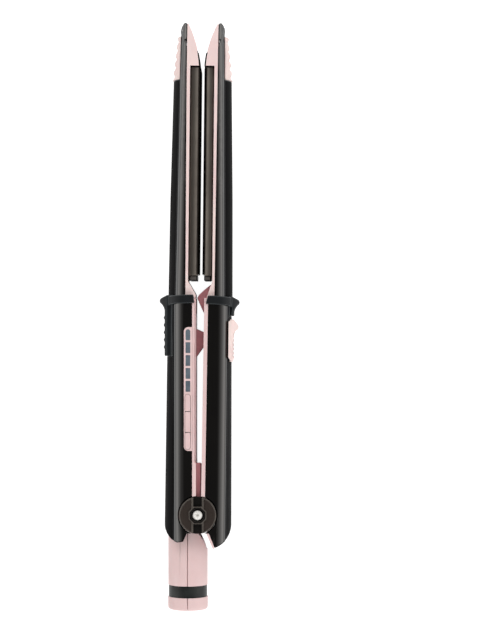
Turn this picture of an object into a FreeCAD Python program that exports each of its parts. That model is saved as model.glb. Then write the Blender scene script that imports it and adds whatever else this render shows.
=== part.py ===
import FreeCAD, Part
import math
import os
import re
import Sketcher

# Hair crimper lying on its side. The origin is on the hinge axis, in the plane it rests on. +Z runs up
# along the hinge axis, +Y runs towards the tips and +X towards the moving arm. Millimetres and degrees.
# An arm is drawn by u, the distance out from the plane in which the arms close, y, the distance from
# the hinge axis towards the tip, and z, the height from the middle plane of the arms.

SIZES = {
    # Whole tool
    "arm_lean": 0.6,
    "move_gap": 0.3,
    "pin_gap": 0.05,
    "part_gap": 0.1,
    "shell_wall": 1.6,
    "mid_height": "=handle_half + collar_rise",
    # Barrel: outer shape
    "joint_line": 107.3,
    "barrel_end": 244.3,
    "barrel_half": 14.2,
    "barrel_corner": 6.5,
    "barrel_run": 5.6,
    "barrel_seam_low": 7.25,
    "barrel_seam_high": 7.75,
    "barrel_back_low": 12.3,
    "barrel_back_high": 10.8,
    "spine_low": 16.1,
    "spine_mid": 15.6,
    "spine_high": 14.0,
    "spine_station": 157.0,
    "tip_shoulder": 238.5,
    "tip_peak": 9.3,
    "tip_bow": 6.5,
    "tip_taper": 24.0,
    "tip_half": 8.0,
    "tip_mid_half": 12.0,
    # Ribbed tip grips
    "grip_low": 215.8,
    "grip_high": 237.5,
    "grip_rise_low": 15.0,
    "grip_rise_high": 12.8,
    "grip_half": 8.5,
    "grip_half_high": 6.8,
    "grip_edge": 0.5,
    "grip_groove": 1.7,
    "grip_groove_depth": 0.9,
    # Barrel frame
    "frame_face": 6.0,
    "frame_inset": 0.3,
    "tip_floor": 222.1,
    "tip_lip": 1.4,
    "tip_front": 7.45,
    "tip_edge_bow": 58.0,
    "nose_top": 115.6,
    "left_nose": 2.2,
    "left_nose_high": 109.1,
    "right_nose": 3.4,
    "right_nose_high": 107.7,
    "window_half": 11.0,
    "window_margin": 0.2,
    "tenon_low": 98.0,
    "tenon_half": 8.4,
    # Crimping plates and what heats them
    "left_plate_face": 0.5,
    "right_plate_face": 0.95,
    "plate_edge": 0.95,
    "plate_low": 119.0,
    "plate_high": 221.5,
    "ridge_pitch": 3.0,
    "ridge_depth": 1.0,
    "ridge_count": 8,
    "plate_back": 2.8,
    "carrier_back": 5.3,
    "carrier_side": 0.4,
    "carrier_lip": 1.0,
    "guide_outer": 10.4,
    "guide_thick": 1.0,
    "guide_back": 6.5,
    "heater_half": 6.0,
    "heater_low": 135.0,
    "heater_high": 200.0,
    "heater_front": 3.0,
    "heater_thick": 1.6,
    "film_thick": 0.2,
    "pocket_half": 8.0,
    "fuse_radius": 1.0,
    "fuse_length": 9.0,
    "post_radius": 1.5,
    "post_back": 8.0,
    "post_inset": 8.0,
    "cap_length": 2.6,
    "float_travel": 0.6,
    "leaf_thick": 0.4,
    "leaf_half": 3.0,
    "leaf_length": 34.0,
    # Handles
    "handle_half": 15.0,
    "handle_corner": 8.0,
    "handle_run": 6.5,
    "left_inner": 0.8,
    "left_inner_low": 0.8,
    "left_seam": 2.7,
    "left_seam_low": 2.7,
    "left_screw_face": 1.1,
    "left_back": 11.9,
    "left_top": 15.15,
    "left_top_low": 16.8,
    "right_inner": 2.2,
    "right_inner_low": 1.55,
    "right_seam": 4.1,
    "right_seam_low": 3.5,
    "right_screw_face": 2.2,
    "right_back": 13.95,
    "right_top": 15.65,
    "right_top_low": 16.65,
    "heel_start": 5.4,
    "left_heel_bow": 9.2,
    "left_heel": 10.2,
    "left_heel_low": 13.7,
    "left_heel_inner": 7.15,
    "left_heel_inner_low": 13.1,
    "left_throat": 5.35,
    "right_heel_bow": 11.2,
    "right_heel": 8.55,
    "right_heel_low": 16.1,
    "right_heel_inner": 7.85,
    "right_heel_inner_low": 16.85,
    "right_throat": 4.4,
    "throat_low": 8.95,
    "lining": 1.25,
    "lip_step": 0.75,
    "lip_depth": 3.4,
    "lip_half": "=handle_half - lip_depth",
    # Collars
    "left_collar_low": 104.85,
    "left_collar_high": 109.0,
    "right_collar_low": 104.4,
    "right_collar_high": 108.6,
    "collar_rise": 0.9,
    "left_band": 1.5,
    "left_band_high": 2.1,
    "right_band": 2.9,
    "right_band_high": 4.0,
    "wing_half": 10.2,
    "left_wing": 18.3,
    "right_wing": 18.8,
    "wing_round": 1.6,
    "left_wing_mid": 105.95,
    "right_wing_mid": 105.4,
    "wing_shoulder": 2.9,
    "wing_thick": 2.76,
    "wing_drop": 4.8,
    "pad_half": 9.7,
    "left_pad_seat": 12.2,
    "right_pad_seat": 14.2,
    "sleeve_rise": 0.15,
    "left_pad": 16.5,
    "left_pad_low": 78.6,
    "right_pad": 17.0,
    "right_pad_low": 98.6,
    "rib_radius": 1.0,
    "rib_pitch": 3.65,
    "rib_first": 83.0,
    "rib_count": 5,
    # Hinge
    "cap_radius": 9.2,
    "cap_sink": 2.1,
    "cap_stand": 0.3,
    "cap_strip": 2.95,
    "cap_channel": 2.15,
    "cap_octagon": 4.25,
    "cap_under": "=handle_half - cap_sink",
    "cap_top": "=handle_half + cap_stand",
    "hinge_room": 9.5,
    "knuckle_radius": 7.6,
    "knuckle_drop": 6.9,
    "knuckle_half": "=cap_under - knuckle_drop",
    "ear_thick": 4.0,
    "pin_radius": 3.0,
    "screw_radius": 1.25,
    "screw_head": 2.7,
    "screw_head_height": 1.2,
    "web_inset": 2.5,
    "web_half": "=handle_half - web_inset",
    "web_low": 8.3,
    "web_high": 25.9,
    "web_right": 1.45,
    "link_sink": 0.6,
    "fork_sink": 1.3,
    "spring_turn": 4.4,
    "spring_wire": 0.5,
    "spring_pitch": 1.1,
    "spring_leg": 7.8,
    # Tail
    "tail_offset": 5.15,
    "tail_radius": 9.85,
    "tail_wall": 2.25,
    "tail_top": 3.0,
    "tail_end": 48.2,
    "tail_flare": 10.0,
    "tail_round": 1.6,
    "tail_floor": 2.2,
    "seam_groove": 0.25,
    "seam_depth": 0.5,
    "band_high": 35.9,
    "band_low": 41.8,
    "band_radius": 9.6,
    "band_seat": 9.0,
    "neck_start": 0.15,
    "neck_end": 4.2,
    "neck_high": 9.2,
    "neck_low": 17.9,
    "neck_bow": 30.0,
    "swivel_radius": 5.4,
    "swivel_flange": 7.2,
    "cord_radius": 3.3,
    "swivel_length": 5.0,
    "swivel_inset": 0.2,
    "tail_screw_height": 5.8,
    "tail_screw": 0.9,
    "tail_screw_head": 1.7,
    "tail_screw_seat": 3.2,
    # Display and buttons
    "bezel_low": 31.8,
    "bezel_high": 92.95,
    "bezel_out": 6.75,
    "bezel_round": 2.2,
    "bezel_sink": 1.5,
    "bezel_stand": 0.3,
    "bezel_under": "=handle_half - bezel_sink",
    "bezel_top": "=handle_half + bezel_stand",
    "bar_in": 3.6,
    "bar_out": 5.9,
    "bar_first": 91.85,
    "bar_length": 5.35,
    "bar_pitch": 6.37,
    "bar_count": 5,
    "key_in": 3.6,
    "key_out": 6.1,
    "key_high": 59.75,
    "key_upper": 51.3,
    "key_lower": 40.95,
    "key_low": 32.6,
    "key_split": 0.35,
    "key_gap": 0.15,
    "key_stand": 0.55,
    "key_sink": 2.0,
    "key_top": "=handle_half + key_stand",
    "key_under": "=handle_half - key_sink",
    "key_flange": 0.3,
    "key_travel": 0.5,
    "board_sink": 4.2,
    "board_thick": 1.2,
    "board_top": "=handle_half - board_sink",
    "board_under": "=board_top - board_thick",
    "board_low": 28.0,
    "board_high": 97.0,
    "board_inset": 3.3,
    "board_out": "=left_back - board_inset",
    "switch_half": 1.7,
    "switch_height": 1.3,
    "stem_height": 0.25,
    "lamp_half": 1.4,
    "lamp_height": 1.2,
    # Fasteners in the handles
    "handle_screw_low": 46.0,
    "handle_screw_high": 68.0,
    "shank_radius": 1.2,
    "head_radius": 2.2,
    "head_depth": 1.2,
    "shank_length": 7.4,
    "boss_radius": 3.0,
    # Lock
    "lock_travel": 4.0,
    "slider_low": 75.85,
    "slider_high": 96.95,
    "slider_half": 9.6,
    "slider_top": 17.1,
    "slider_end": 16.7,
    "slider_gap": 0.12,
    "saddle_rise": 0.7,
    "slider_groove": 1.0,
    "slider_groove_depth": 0.35,
    "slider_groove_first": 3.0,
    "slider_groove_pitch": 2.1,
    "knob_out": 19.2,
    "knob_high": 93.9,
    "knob_waist": 90.4,
    "catch_clear": 1.1,
    "catch_half": "=board_under - catch_clear",
    "catch_end": 7.4,
    "catch_high": 92.0,
    "catch_low": 77.9,
    "catch_root": 6.0,
    "notch_half": 2.4,
    "notch_in": 4.5,
    "notch_out": 6.5,
    "notch_floor": 85.9,
    "bolt_in": 4.3,
    "bolt_out": 5.3,
    "bolt_low": 90.6,
    "bolt_half": 2.0,
    "hook_low": 94.5,
    "hook_high": 96.3,
    "hook_half": 1.5,
    "retainer_half": 3.5,
    "retainer_thick": 1.0,
    # Guide wedge at the collar
    "wedge_half": 9.0,
    "wedge_peak": 1.45,
    "wedge_peak_height": 107.4,
    "wedge_high": 113.9,
    "wedge_low": 99.5,
    "wedge_root": 3.1,
    "wedge_room": 0.5,
}

doc = FreeCAD.newDocument("hair_crimper")
sheet = doc.addObject("Spreadsheet::Sheet", "sizes")
for row, alias in enumerate(SIZES, start=1):
    sheet.set(f"A{row}", alias)
    sheet.setAlias(f"B{row}", alias)
for row, number in enumerate(SIZES.values(), start=1):
    sheet.set(f"B{row}", str(number))
doc.recompute()

ALIAS_WORD = re.compile(r"\b(" + "|".join(sorted(SIZES, key=len, reverse=True)) + r")\b")
nodes = []


def bind(formula):
    """The formula with each size read from the sheet."""
    return ALIAS_WORD.sub(r"sizes.\1", str(formula))


def value(formula):
    """The number that a formula of sizes gives."""
    return float(sheet.evalExpression(bind(formula)))


def count(alias):
    """A whole number from the sheet."""
    return int(round(value(alias)))


class Frame:
    """Where an arm is drawn: the sign that u has along X, and the arm's turn about the hinge axis."""

    def __init__(self, sign, lean):
        self.sign = sign
        self.lean = lean

    def across(self, u):
        return f"{self.sign}({u})"

    def place(self, item):
        item.setExpression("Placement.Rotation.Angle", bind(self.lean))
        item.setExpression("Placement.Base.z", bind("mid_height"))


LEFT_BARREL = Frame("-", "-arm_lean")
LEFT_HANDLE = Frame("-", "0")
RIGHT = Frame("", "-arm_lean")
HINGE = Frame("", "0")

# A sketch plane's role, and how the level along the pad relates to the sketch's offset
PLANES = {"top": "XY_Plane", "end": "XZ_Plane", "side": "YZ_Plane"}


def signed_area(points):
    pairs = zip(points, points[1:] + points[:1])
    return sum(a.x * b.y - b.x * a.y for a, b in pairs) / 2


def arc_between(start, stop, radius, left_centre):
    """Arc from start to stop with its centre to the left or the right, and whether it runs forwards."""
    chord = stop - start
    middle = (start + stop) / 2
    reach = math.sqrt(max(radius ** 2 - (chord.Length / 2) ** 2, 0.0))
    normal = FreeCAD.Vector(-chord.y, chord.x, 0).normalize()
    centre = middle + normal * (reach if left_centre else -reach)
    first, last = (start, stop) if left_centre else (stop, start)
    angles = [math.atan2(p.y - centre.y, p.x - centre.x) for p in (first, last)]
    circle = Part.Circle(centre, FreeCAD.Vector(0, 0, 1), radius)
    return Part.ArcOfCircle(circle, angles[0], angles[1]), left_centre


def add_sketch(body, name, plane, level):
    sketch = body.newObject("Sketcher::SketchObject", name)
    origin_plane = [f for f in body.Origin.OriginFeatures if f.Role == PLANES[plane]][0]
    sketch.AttachmentSupport = [(origin_plane, "")]
    sketch.MapMode = "FlatFace"
    sketch.setExpression("AttachmentOffset.Base.z", bind(level))
    return sketch


def draw_outline(sketch, corners):
    """Closed outline. Each corner is (x, y) or (x, y, bow); a bow makes the edge to the next corner
    an arc of that radius, which stands out of the outline, or runs into it where bow is ("in", radius)."""
    points = [FreeCAD.Vector(value(c[0]), value(c[1]), 0) for c in corners]
    forwards = signed_area(points) > 0
    ends = []
    radii = []
    for index, corner in enumerate(corners):
        start = points[index]
        stop = points[(index + 1) % len(points)]
        if len(corner) == 2:
            edge = sketch.addGeometry(Part.LineSegment(start, stop), False)
            ends.append((edge, 1, 2))
            continue
        inward = isinstance(corner[2], tuple)
        radius = corner[2][1] if inward else corner[2]
        arc, ahead = arc_between(start, stop, value(radius), forwards != inward)
        edge = sketch.addGeometry(arc, False)
        ends.append((edge, 1, 2) if ahead else (edge, 2, 1))
        radii.append((edge, radius))
    rules = []
    formulas = []
    for index, (edge, first, last) in enumerate(ends):
        follower = ends[(index + 1) % len(ends)]
        rules.append(Sketcher.Constraint("Coincident", edge, last, follower[0], follower[1]))
        formulas.append(None)
        for kind, formula, size in (("DistanceX", corners[index][0], points[index].x),
                                    ("DistanceY", corners[index][1], points[index].y)):
            rules.append(Sketcher.Constraint(kind, -1, 1, edge, first, size))
            formulas.append(formula)
    for edge, radius in radii:
        rules.append(Sketcher.Constraint("Radius", edge, value(radius)))
        formulas.append(radius)
    sketch.addConstraint(rules)
    for index, formula in enumerate(formulas):
        if formula is not None and bind(formula) != str(formula):
            sketch.setExpression(f"Constraints[{index}]", bind(formula))
    return points


def draw_circle(sketch, centre, radius):
    middle = FreeCAD.Vector(value(centre[0]), value(centre[1]), 0)
    edge = sketch.addGeometry(Part.Circle(middle, FreeCAD.Vector(0, 0, 1), value(radius)), False)
    rules = [Sketcher.Constraint("DistanceX", -1, 1, edge, 3, middle.x),
             Sketcher.Constraint("DistanceY", -1, 1, edge, 3, middle.y),
             Sketcher.Constraint("Radius", edge, value(radius))]
    first = sketch.ConstraintCount
    sketch.addConstraint(rules)
    for offset, formula in enumerate((centre[0], centre[1], radius)):
        if bind(formula) != str(formula):
            sketch.setExpression(f"Constraints[{first + offset}]", bind(formula))


def start_level(frame, plane, low, high):
    if plane == "end":
        return f"-({high})"
    if plane == "side" and frame.sign == "-":
        return f"-({high})"
    return low


def pad(body, sketch, low, high):
    feature = body.newObject("PartDesign::Pad", "Pad")
    feature.Profile = sketch
    feature.setExpression("Length", bind(f"({high}) - ({low})"))
    return feature


def sheet_point(frame, plane, corner):
    """A corner of an outline in its sketch: u runs along X with the arm's sign."""
    if plane == "side":
        return corner
    return (frame.across(corner[0]),) + tuple(corner[1:])


def prism(name, frame, plane, corners, low, high, rounds=()):
    """Body padded from an outline between two levels, with some of its corners rounded."""
    body = doc.addObject("PartDesign::Body", name)
    frame.place(body)
    sketch = add_sketch(body, name + "_sketch", plane, start_level(frame, plane, low, high))
    points = draw_outline(sketch, [sheet_point(frame, plane, c) for c in corners])
    feature = pad(body, sketch, low, high)
    if rounds:
        doc.recompute()
        round_corners(body, feature, plane, points, rounds)
    return body


def round_corners(body, feature, plane, points, rounds):
    axes = {"top": (0, 1), "end": (0, 2), "side": (1, 2)}[plane]
    for radius in dict.fromkeys(r for _, r in rounds):
        shape = body.Tip.Shape
        picked = []
        for number, edge in enumerate(shape.Edges, start=1):
            ends = [v.Point for v in edge.Vertexes]
            for index in (i for i, r in rounds if r == radius):
                target = points[index]
                if len(ends) == 2 and all(
                        abs(end[axes[0]] - target.x) < 1e-4 and abs(end[axes[1]] - target.y) < 1e-4
                        for end in ends):
                    picked.append(f"Edge{number}")
        fillet = body.newObject("PartDesign::Fillet", "Round")
        fillet.Base = (body.Tip if body.Tip != fillet else feature, picked)
        fillet.setExpression("Radius", bind(radius))
        doc.recompute()


def disc(name, frame, plane, centre, radius, low, high, hole=None):
    """Cylinder, or a ring where it has a hole, padded between two levels."""
    body = doc.addObject("PartDesign::Body", name)
    frame.place(body)
    sketch = add_sketch(body, name + "_sketch", plane, start_level(frame, plane, low, high))
    place = sheet_point(frame, plane, centre)
    draw_circle(sketch, place, radius)
    if hole is not None:
        draw_circle(sketch, place, hole)
    pad(body, sketch, low, high)
    return body


def turned(name, corners, offset_x="0"):
    """Body turned about an axis along Y, from an outline of (radius, y) corners."""
    body = doc.addObject("PartDesign::Body", name)
    HINGE.place(body)
    body.setExpression("Placement.Base.x", bind(offset_x))
    sketch = add_sketch(body, name + "_sketch", "top", "0")
    draw_outline(sketch, corners)
    feature = body.newObject("PartDesign::Revolution", "Turn")
    feature.Profile = sketch
    feature.ReferenceAxis = (sketch, ["V_Axis"])
    feature.Angle = 360
    return body


def lofted(name, frame, stations):
    """Body lofted straight through outlines drawn across the arm, each at its own y."""
    body = doc.addObject("PartDesign::Body", name)
    frame.place(body)
    sketches = []
    for number, (level, corners) in enumerate(stations, start=1):
        sketch = add_sketch(body, f"{name}_sketch_{number}", "end", f"-({level})")
        draw_outline(sketch, [sheet_point(frame, "end", c) for c in corners])
        sketches.append(sketch)
    feature = body.newObject("PartDesign::AdditiveLoft", "Loft")
    feature.Profile = sketches[0]
    feature.Sections = sketches[1:]
    feature.Ruled = True
    return body


def fuse(name, *shapes):
    result = doc.addObject("Part::MultiFuse", name)
    result.Shapes = list(shapes)
    result.Refine = True
    return result


def common(name, *shapes):
    result = doc.addObject("Part::MultiCommon", name)
    result.Shapes = list(shapes)
    return result


def cut(name, base, *tools):
    """The base with every tool cut from it."""
    result = doc.addObject("Part::Cut", name)
    result.Base = base
    result.Tool = tools[0] if len(tools) == 1 else fuse(name + "_tools", *tools)
    result.Refine = True
    return result


def group(name, *shapes):
    """Several separate solids that share one node."""
    result = doc.addObject("Part::Compound", name)
    result.Links = list(shapes)
    return result


def node(item, label):
    """Marks an object as a finished piece, under the name of its file."""
    item.Label = label
    nodes.append(item)
    return item


def box(name, frame, low_corner, high_corner):
    """Block between two (u, y, z) corners."""
    (u0, y0, z0), (u1, y1, z1) = low_corner, high_corner
    return prism(name, frame, "top", [(u0, y0), (u1, y0), (u1, y1), (u0, y1)], z0, z1)


def crown_radius(half, rise):
    """Radius of an arc that rises by so much over twice a half width."""
    return f"((({half}) ^ 2 + ({rise}) ^ 2) / (2 * ({rise})))"


def arm_section(start, back, top, half, corner, run):
    """Outline across an arm: flat sides, rounded flanks and a crowned back."""
    start, back, top, half, corner, run = (f"({part})" for part in (start, back, top, half, corner, run))
    edge = f"({half} - {corner} + sqrt({corner} ^ 2 - {run} ^ 2))"
    crown = crown_radius(edge, f"{top} - {back}")
    shoulder = f"({back} - {run})"
    return [(start, f"-{half}"), (shoulder, f"-{half}", corner), (back, f"-{edge}", crown),
            (back, edge, corner), (shoulder, half), (start, half)]


def barrel_back(y):
    """u of the barrel shell's flat back at a distance y."""
    slope = "(barrel_back_high - barrel_back_low) / (tip_shoulder - joint_line)"
    return f"(barrel_back_low + ({y} - joint_line) * {slope})"


def barrel_seam(y):
    """u of the line where the barrel's shell meets its frame."""
    slope = "(barrel_seam_high - barrel_seam_low) / (barrel_end - joint_line)"
    return f"(barrel_seam_low + ({y} - joint_line) * {slope})"


def barrel_envelope(arm, frame):
    """Outer form of a barrel, which narrows towards the tip, and the same outline for its frame."""
    taper_start = "(barrel_end - tip_taper)"
    taper_middle = "(barrel_end - tip_taper / 2)"
    end = "(barrel_end + part_gap)"
    stations = [("joint_line - 1", "spine_low", "barrel_half"), ("spine_station", "spine_mid", "barrel_half")]
    for y, half in ((taper_start, "barrel_half"), (taper_middle, "tip_mid_half"), (end, "tip_half")):
        top = f"spine_mid + ({y} - spine_station) * (spine_high - spine_mid) / ({end} - spine_station)"
        stations.append((y, top, half))
    sections = [(y, arm_section("0", barrel_back(y), top, half, "barrel_corner", "barrel_run"))
                for y, top, half in stations]
    whole = lofted(arm + "_barrel_envelope", frame, sections)
    upper = [(taper_start, "barrel_half - frame_inset"), (taper_middle, "tip_mid_half - frame_inset"),
             (end, "tip_half - frame_inset")]
    lower = [(y, f"-({half})") for y, half in upper]
    side = prism(arm + "_barrel_side", frame, "side",
                 [("joint_line - 2", "-barrel_half - 1"), (taper_start, "-barrel_half - 1")] + lower
                 + upper[::-1] + [(taper_start, "barrel_half + 1"), ("joint_line - 2", "barrel_half + 1")],
                 "-4", "24")
    return whole, side


def make_barrel(arm, frame, nose, nose_high, extra_cuts):
    """Shell, spine cover, tip grip and frame of one barrel."""
    envelope, side = barrel_envelope(arm, frame)
    start = "joint_line + part_gap"
    shell_plan = prism(arm + "_shell_plan", frame, "top",
                       [(barrel_seam(start), start), (barrel_back(start), start),
                        ("barrel_back_high", "tip_shoulder", "tip_bow"), ("tip_peak", "barrel_end", "1.2"),
                        (barrel_seam("barrel_end - 0.9"), "barrel_end - 0.9")],
                       "-20", "20")
    hollow = prism(arm + "_barrel_hollow", frame, "end",
                   [("0", "-barrel_half + shell_wall"),
                    ("barrel_back_high - shell_wall", "-barrel_half + shell_wall"),
                    ("barrel_back_high - shell_wall", "barrel_half - shell_wall"),
                    ("0", "barrel_half - shell_wall")],
                   "joint_line - 5", "tip_shoulder - 3",
                   rounds=[(1, "barrel_corner - shell_wall"), (2, "barrel_corner - shell_wall")])
    node(cut(arm + "_barrel_shell", common(arm + "_barrel_skin", envelope, shell_plan), hollow),
         arm + "_barrel_shell")
    grip_foot = "grip_low + part_gap"
    spine_plan = prism(arm + "_spine_plan", frame, "top",
                       [(barrel_back(start), start), ("24", start), ("24", "grip_low"),
                        (barrel_back("grip_low"), "grip_low")], "-20", "20")
    node(common(arm + "_barrel_spine", envelope, spine_plan), arm + "_barrel_spine")
    make_tip_grip(arm, frame, grip_foot)
    tray = prism(arm + "_frame_tray", frame, "top",
                 [(nose, start), (nose, nose_high), ("frame_face", "nose_top"),
                  ("frame_face", "tip_floor"), ("tip_lip", "tip_floor", "tip_edge_bow"),
                  ("tip_front", "barrel_end"), (barrel_seam("barrel_end - 0.9"), "barrel_end - 0.9"),
                  (barrel_seam(start), start)],
                 "-(barrel_half - frame_inset)", "barrel_half - frame_inset")
    trimmed = common(arm + "_frame_trimmed", tray, side)
    tenon = box(arm + "_tenon", frame, ("frame_face - 0.5", "tenon_low", "-tenon_half"),
                ("barrel_seam_low - 0.1", "joint_line + 1", "tenon_half"))
    window = box(arm + "_window", frame,
                 ("0", "nose_top + window_margin", "-window_half"),
                 ("12", "tip_floor", "window_half"))
    node(cut(arm + "_barrel_frame", fuse(arm + "_frame_body", trimmed, tenon), window, *extra_cuts),
         arm + "_barrel_frame")


def make_tip_grip(arm, frame, foot):
    """Pad on the outside of a tip, with grooves across it."""
    sections = []
    for y, top, half in ((foot, "grip_rise_low", "grip_half"), ("grip_high", "grip_rise_high", "grip_half_high")):
        back = barrel_back(y)
        edge = f"{back} + grip_edge"
        crown = crown_radius(half, f"{top} - ({edge})")
        sections.append((y, [(back, f"-{half}"), (edge, f"-{half}", crown), (edge, half), (back, half)]))
    pad_body = lofted(arm + "_grip_body", frame, sections)
    slope = "(grip_rise_high - grip_rise_low) / (grip_high - grip_low)"
    grooves = []
    for number in range(5):
        y = f"grip_low + (grip_high - grip_low) * {number + 0.5} / 5"
        crest = f"grip_rise_low + ({y} - grip_low) * {slope}"
        grooves.append(disc(f"{arm}_grip_groove_{number + 1}", frame, "top",
                            (f"{crest} + grip_groove - grip_groove_depth", y), "grip_groove",
                            "-barrel_half", "barrel_half"))
    node(cut(arm + "_tip_grip", pad_body, *grooves), arm + "_tip_grip")


def make_plate(arm, frame, crest_shift):
    """Floating crimping plate with its carrier, heater, film, fuse and end caps."""
    ridges = count("ridge_count")
    half = "ridge_pitch * ridge_count / 2"
    crest_level = f"{arm}_plate_face"
    valley = f"{crest_level} + ridge_depth"
    edge = f"{crest_level} + plate_edge"
    face = [(edge, f"-({half})")]
    for number in range(ridges + (1 if crest_shift else 0)):
        crest = f"ridge_pitch * {number + (0 if crest_shift else 0.5)} - {half}"
        if crest_shift and number == 0:
            continue
        if crest_shift and number == ridges:
            continue
        if number > (1 if crest_shift else 0):
            face.append((valley, f"ridge_pitch * {number - (0.5 if crest_shift else 0)} - {half}"))
        face.append((crest_level, crest))
    face.append((edge, half))
    back = [(edge, f"{half} - carrier_lip"), ("plate_back", f"{half} - carrier_lip"),
            ("plate_back", f"-({half} - carrier_lip)"), (edge, f"-({half} - carrier_lip)")]
    node(prism(arm + "_plate", frame, "end", face + back, "plate_low", "plate_high"), arm + "_plate")
    side = f"{half} + carrier_side"
    body = box(arm + "_carrier_body", frame, (edge, "plate_low - 0.5", f"-({side})"),
               ("carrier_back", "plate_high + 0.2", side))
    seat = box(arm + "_carrier_seat", frame, ("0", "plate_low", f"-({half} - carrier_lip)"),
               ("plate_back", "plate_high", f"{half} - carrier_lip"))
    pocket = box(arm + "_carrier_pocket", frame,
                 ("plate_back", "heater_low - 3", "-pocket_half"),
                 ("carrier_back + 1", "heater_high + fuse_length + 4", "pocket_half"))
    posts = []
    for name, y in (("low", "plate_low + post_inset"), ("high", "plate_high - post_inset")):
        posts.append(disc(f"{arm}_post_{name}", frame, "side", (y, "0"), "post_radius",
                          "carrier_back", "post_back"))
    guides = []
    for name, low, high in (("front", "guide_outer - guide_thick", "guide_outer"),
                            ("back", "-guide_outer", "guide_thick - guide_outer")):
        guides.append(box(f"{arm}_guide_{name}", frame,
                          ("carrier_back", "nose_top + window_margin + 0.4", low),
                          ("guide_back", "plate_high + 0.2", high)))
    carrier = cut(arm + "_carrier_cut", body, seat, pocket)
    node(fuse(arm + "_plate_carrier", carrier, *posts, *guides), arm + "_plate_carrier")
    heater_back = "heater_front + heater_thick"
    heater = box(arm + "_heater", frame, ("heater_front", "heater_low", "-heater_half"),
                 (heater_back, "heater_high", "heater_half"))
    node(heater, arm + "_heater")
    wrap = box(arm + "_film_wrap", frame,
               ("heater_front - film_thick", "heater_low - 1", "-heater_half - film_thick"),
               (f"{heater_back} + film_thick", "heater_high + 1", "heater_half + film_thick"))
    core = box(arm + "_film_core", frame, ("heater_front", "heater_low - 2", "-heater_half"),
               (heater_back, "heater_high + 2", "heater_half"))
    node(cut(arm + "_heater_film", wrap, core), arm + "_heater_film")
    node(disc(arm + "_thermal_fuse", frame, "end", ("plate_back + fuse_radius", "0"), "fuse_radius",
              "heater_high + 2", "heater_high + 2 + fuse_length"), arm + "_thermal_fuse")
    node(box(arm + "_plate_end_cap", frame,
             (edge, "plate_low - 0.5 - cap_length", f"-({half} - 1)"),
             ("carrier_back", "plate_low - 0.5", f"{half} - 1")), arm + "_plate_end_cap")


def make_leaf_springs(arm, frame):
    """Two bowed leaves that press the carrier towards the other arm."""
    rest = "carrier_back + 0.1"
    foot = "barrel_back_high - shell_wall - leaf_thick - 0.2"
    rise = f"({foot} - ({rest}))"
    bow = crown_radius("leaf_length / 2", rise)
    leaves = []
    middle = "(plate_low + plate_high) / 2"
    for number, shift in enumerate(("- leaf_length * 0.6", "+ leaf_length * 0.6"), start=1):
        low = f"{middle} {shift} - leaf_length / 2"
        high = f"{middle} {shift} + leaf_length / 2"
        corners = [(foot, low, bow), (foot, high), (f"{foot} + leaf_thick", high, ("in", bow)),
                   (f"{foot} + leaf_thick", low)]
        leaves.append(prism(f"{arm}_leaf_{number}", frame, "top", corners, "-leaf_half", "leaf_half"))
    node(group(arm + "_plate_springs", *leaves), arm + "_plate_springs")


def handle_top(arm, y):
    """u of the crest of a handle's back at a distance y."""
    slope = f"({arm}_top - {arm}_top_low) / (joint_line + heel_start)"
    return f"({arm}_top_low + ({y} + heel_start) * {slope})"


def handle_section(arm, top, rise="0"):
    """The handle's outline across it with its crest at top, raised all round."""
    return arm_section("0", f"{arm}_back + {rise}", f"{top} + {rise}", f"handle_half + {rise}",
                       f"handle_corner + {rise}", "handle_run")


def handle_envelope(arm, frame):
    """Outer form of a handle, which widens towards the heel."""
    plan = prism(arm + "_handle_plan", frame, "top",
                 [(f"{arm}_inner", "joint_line"), (f"{arm}_top + 0.02", "joint_line"),
                  (f"{arm}_top_low + 0.02", "-heel_start", f"{arm}_heel_bow"),
                  (f"{arm}_heel", f"-{arm}_heel_low"), (f"{arm}_heel_inner", f"-{arm}_heel_inner_low"),
                  (f"{arm}_throat", "-throat_low"), (f"{arm}_inner_low", "-throat_low")],
                 "-handle_half - 1", "handle_half + 1")
    whole = lofted(arm + "_handle_section", frame,
                   [(y, handle_section(arm, handle_top(arm, y))) for y in ("(-20)", "(joint_line + 1)")])
    return common(arm + "_handle_envelope", plan, whole)


def screw_hole(arm, frame, number, y):
    """Counterbored hole that a handle screw passes through, from the inner face into its boss."""
    face = f"{arm}_screw_face"
    head = disc(f"{arm}_head_hole_{number}", frame, "side", (y, "0"), "head_radius + part_gap",
                f"{face} - 1.3", f"{face} + head_depth")
    shank = disc(f"{arm}_shank_hole_{number}", frame, "side", (y, "0"), "shank_radius",
                 f"{face} - 0.3", f"{face} + head_depth + shank_length")
    return fuse(f"{arm}_screw_hole_{number}", head, shank)


def handle_screw(arm, frame, number, y):
    face = f"{arm}_screw_face"
    head = disc(f"{arm}_screw_head_{number}", frame, "side", (y, "0"), "head_radius",
                face, f"{face} + head_depth")
    shank = disc(f"{arm}_screw_shank_{number}", frame, "side", (y, "0"), "shank_radius",
                 f"{face} + head_depth", f"{face} + head_depth + shank_length - 0.3")
    return fuse(f"{arm}_screw_{number}", head, shank)


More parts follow.
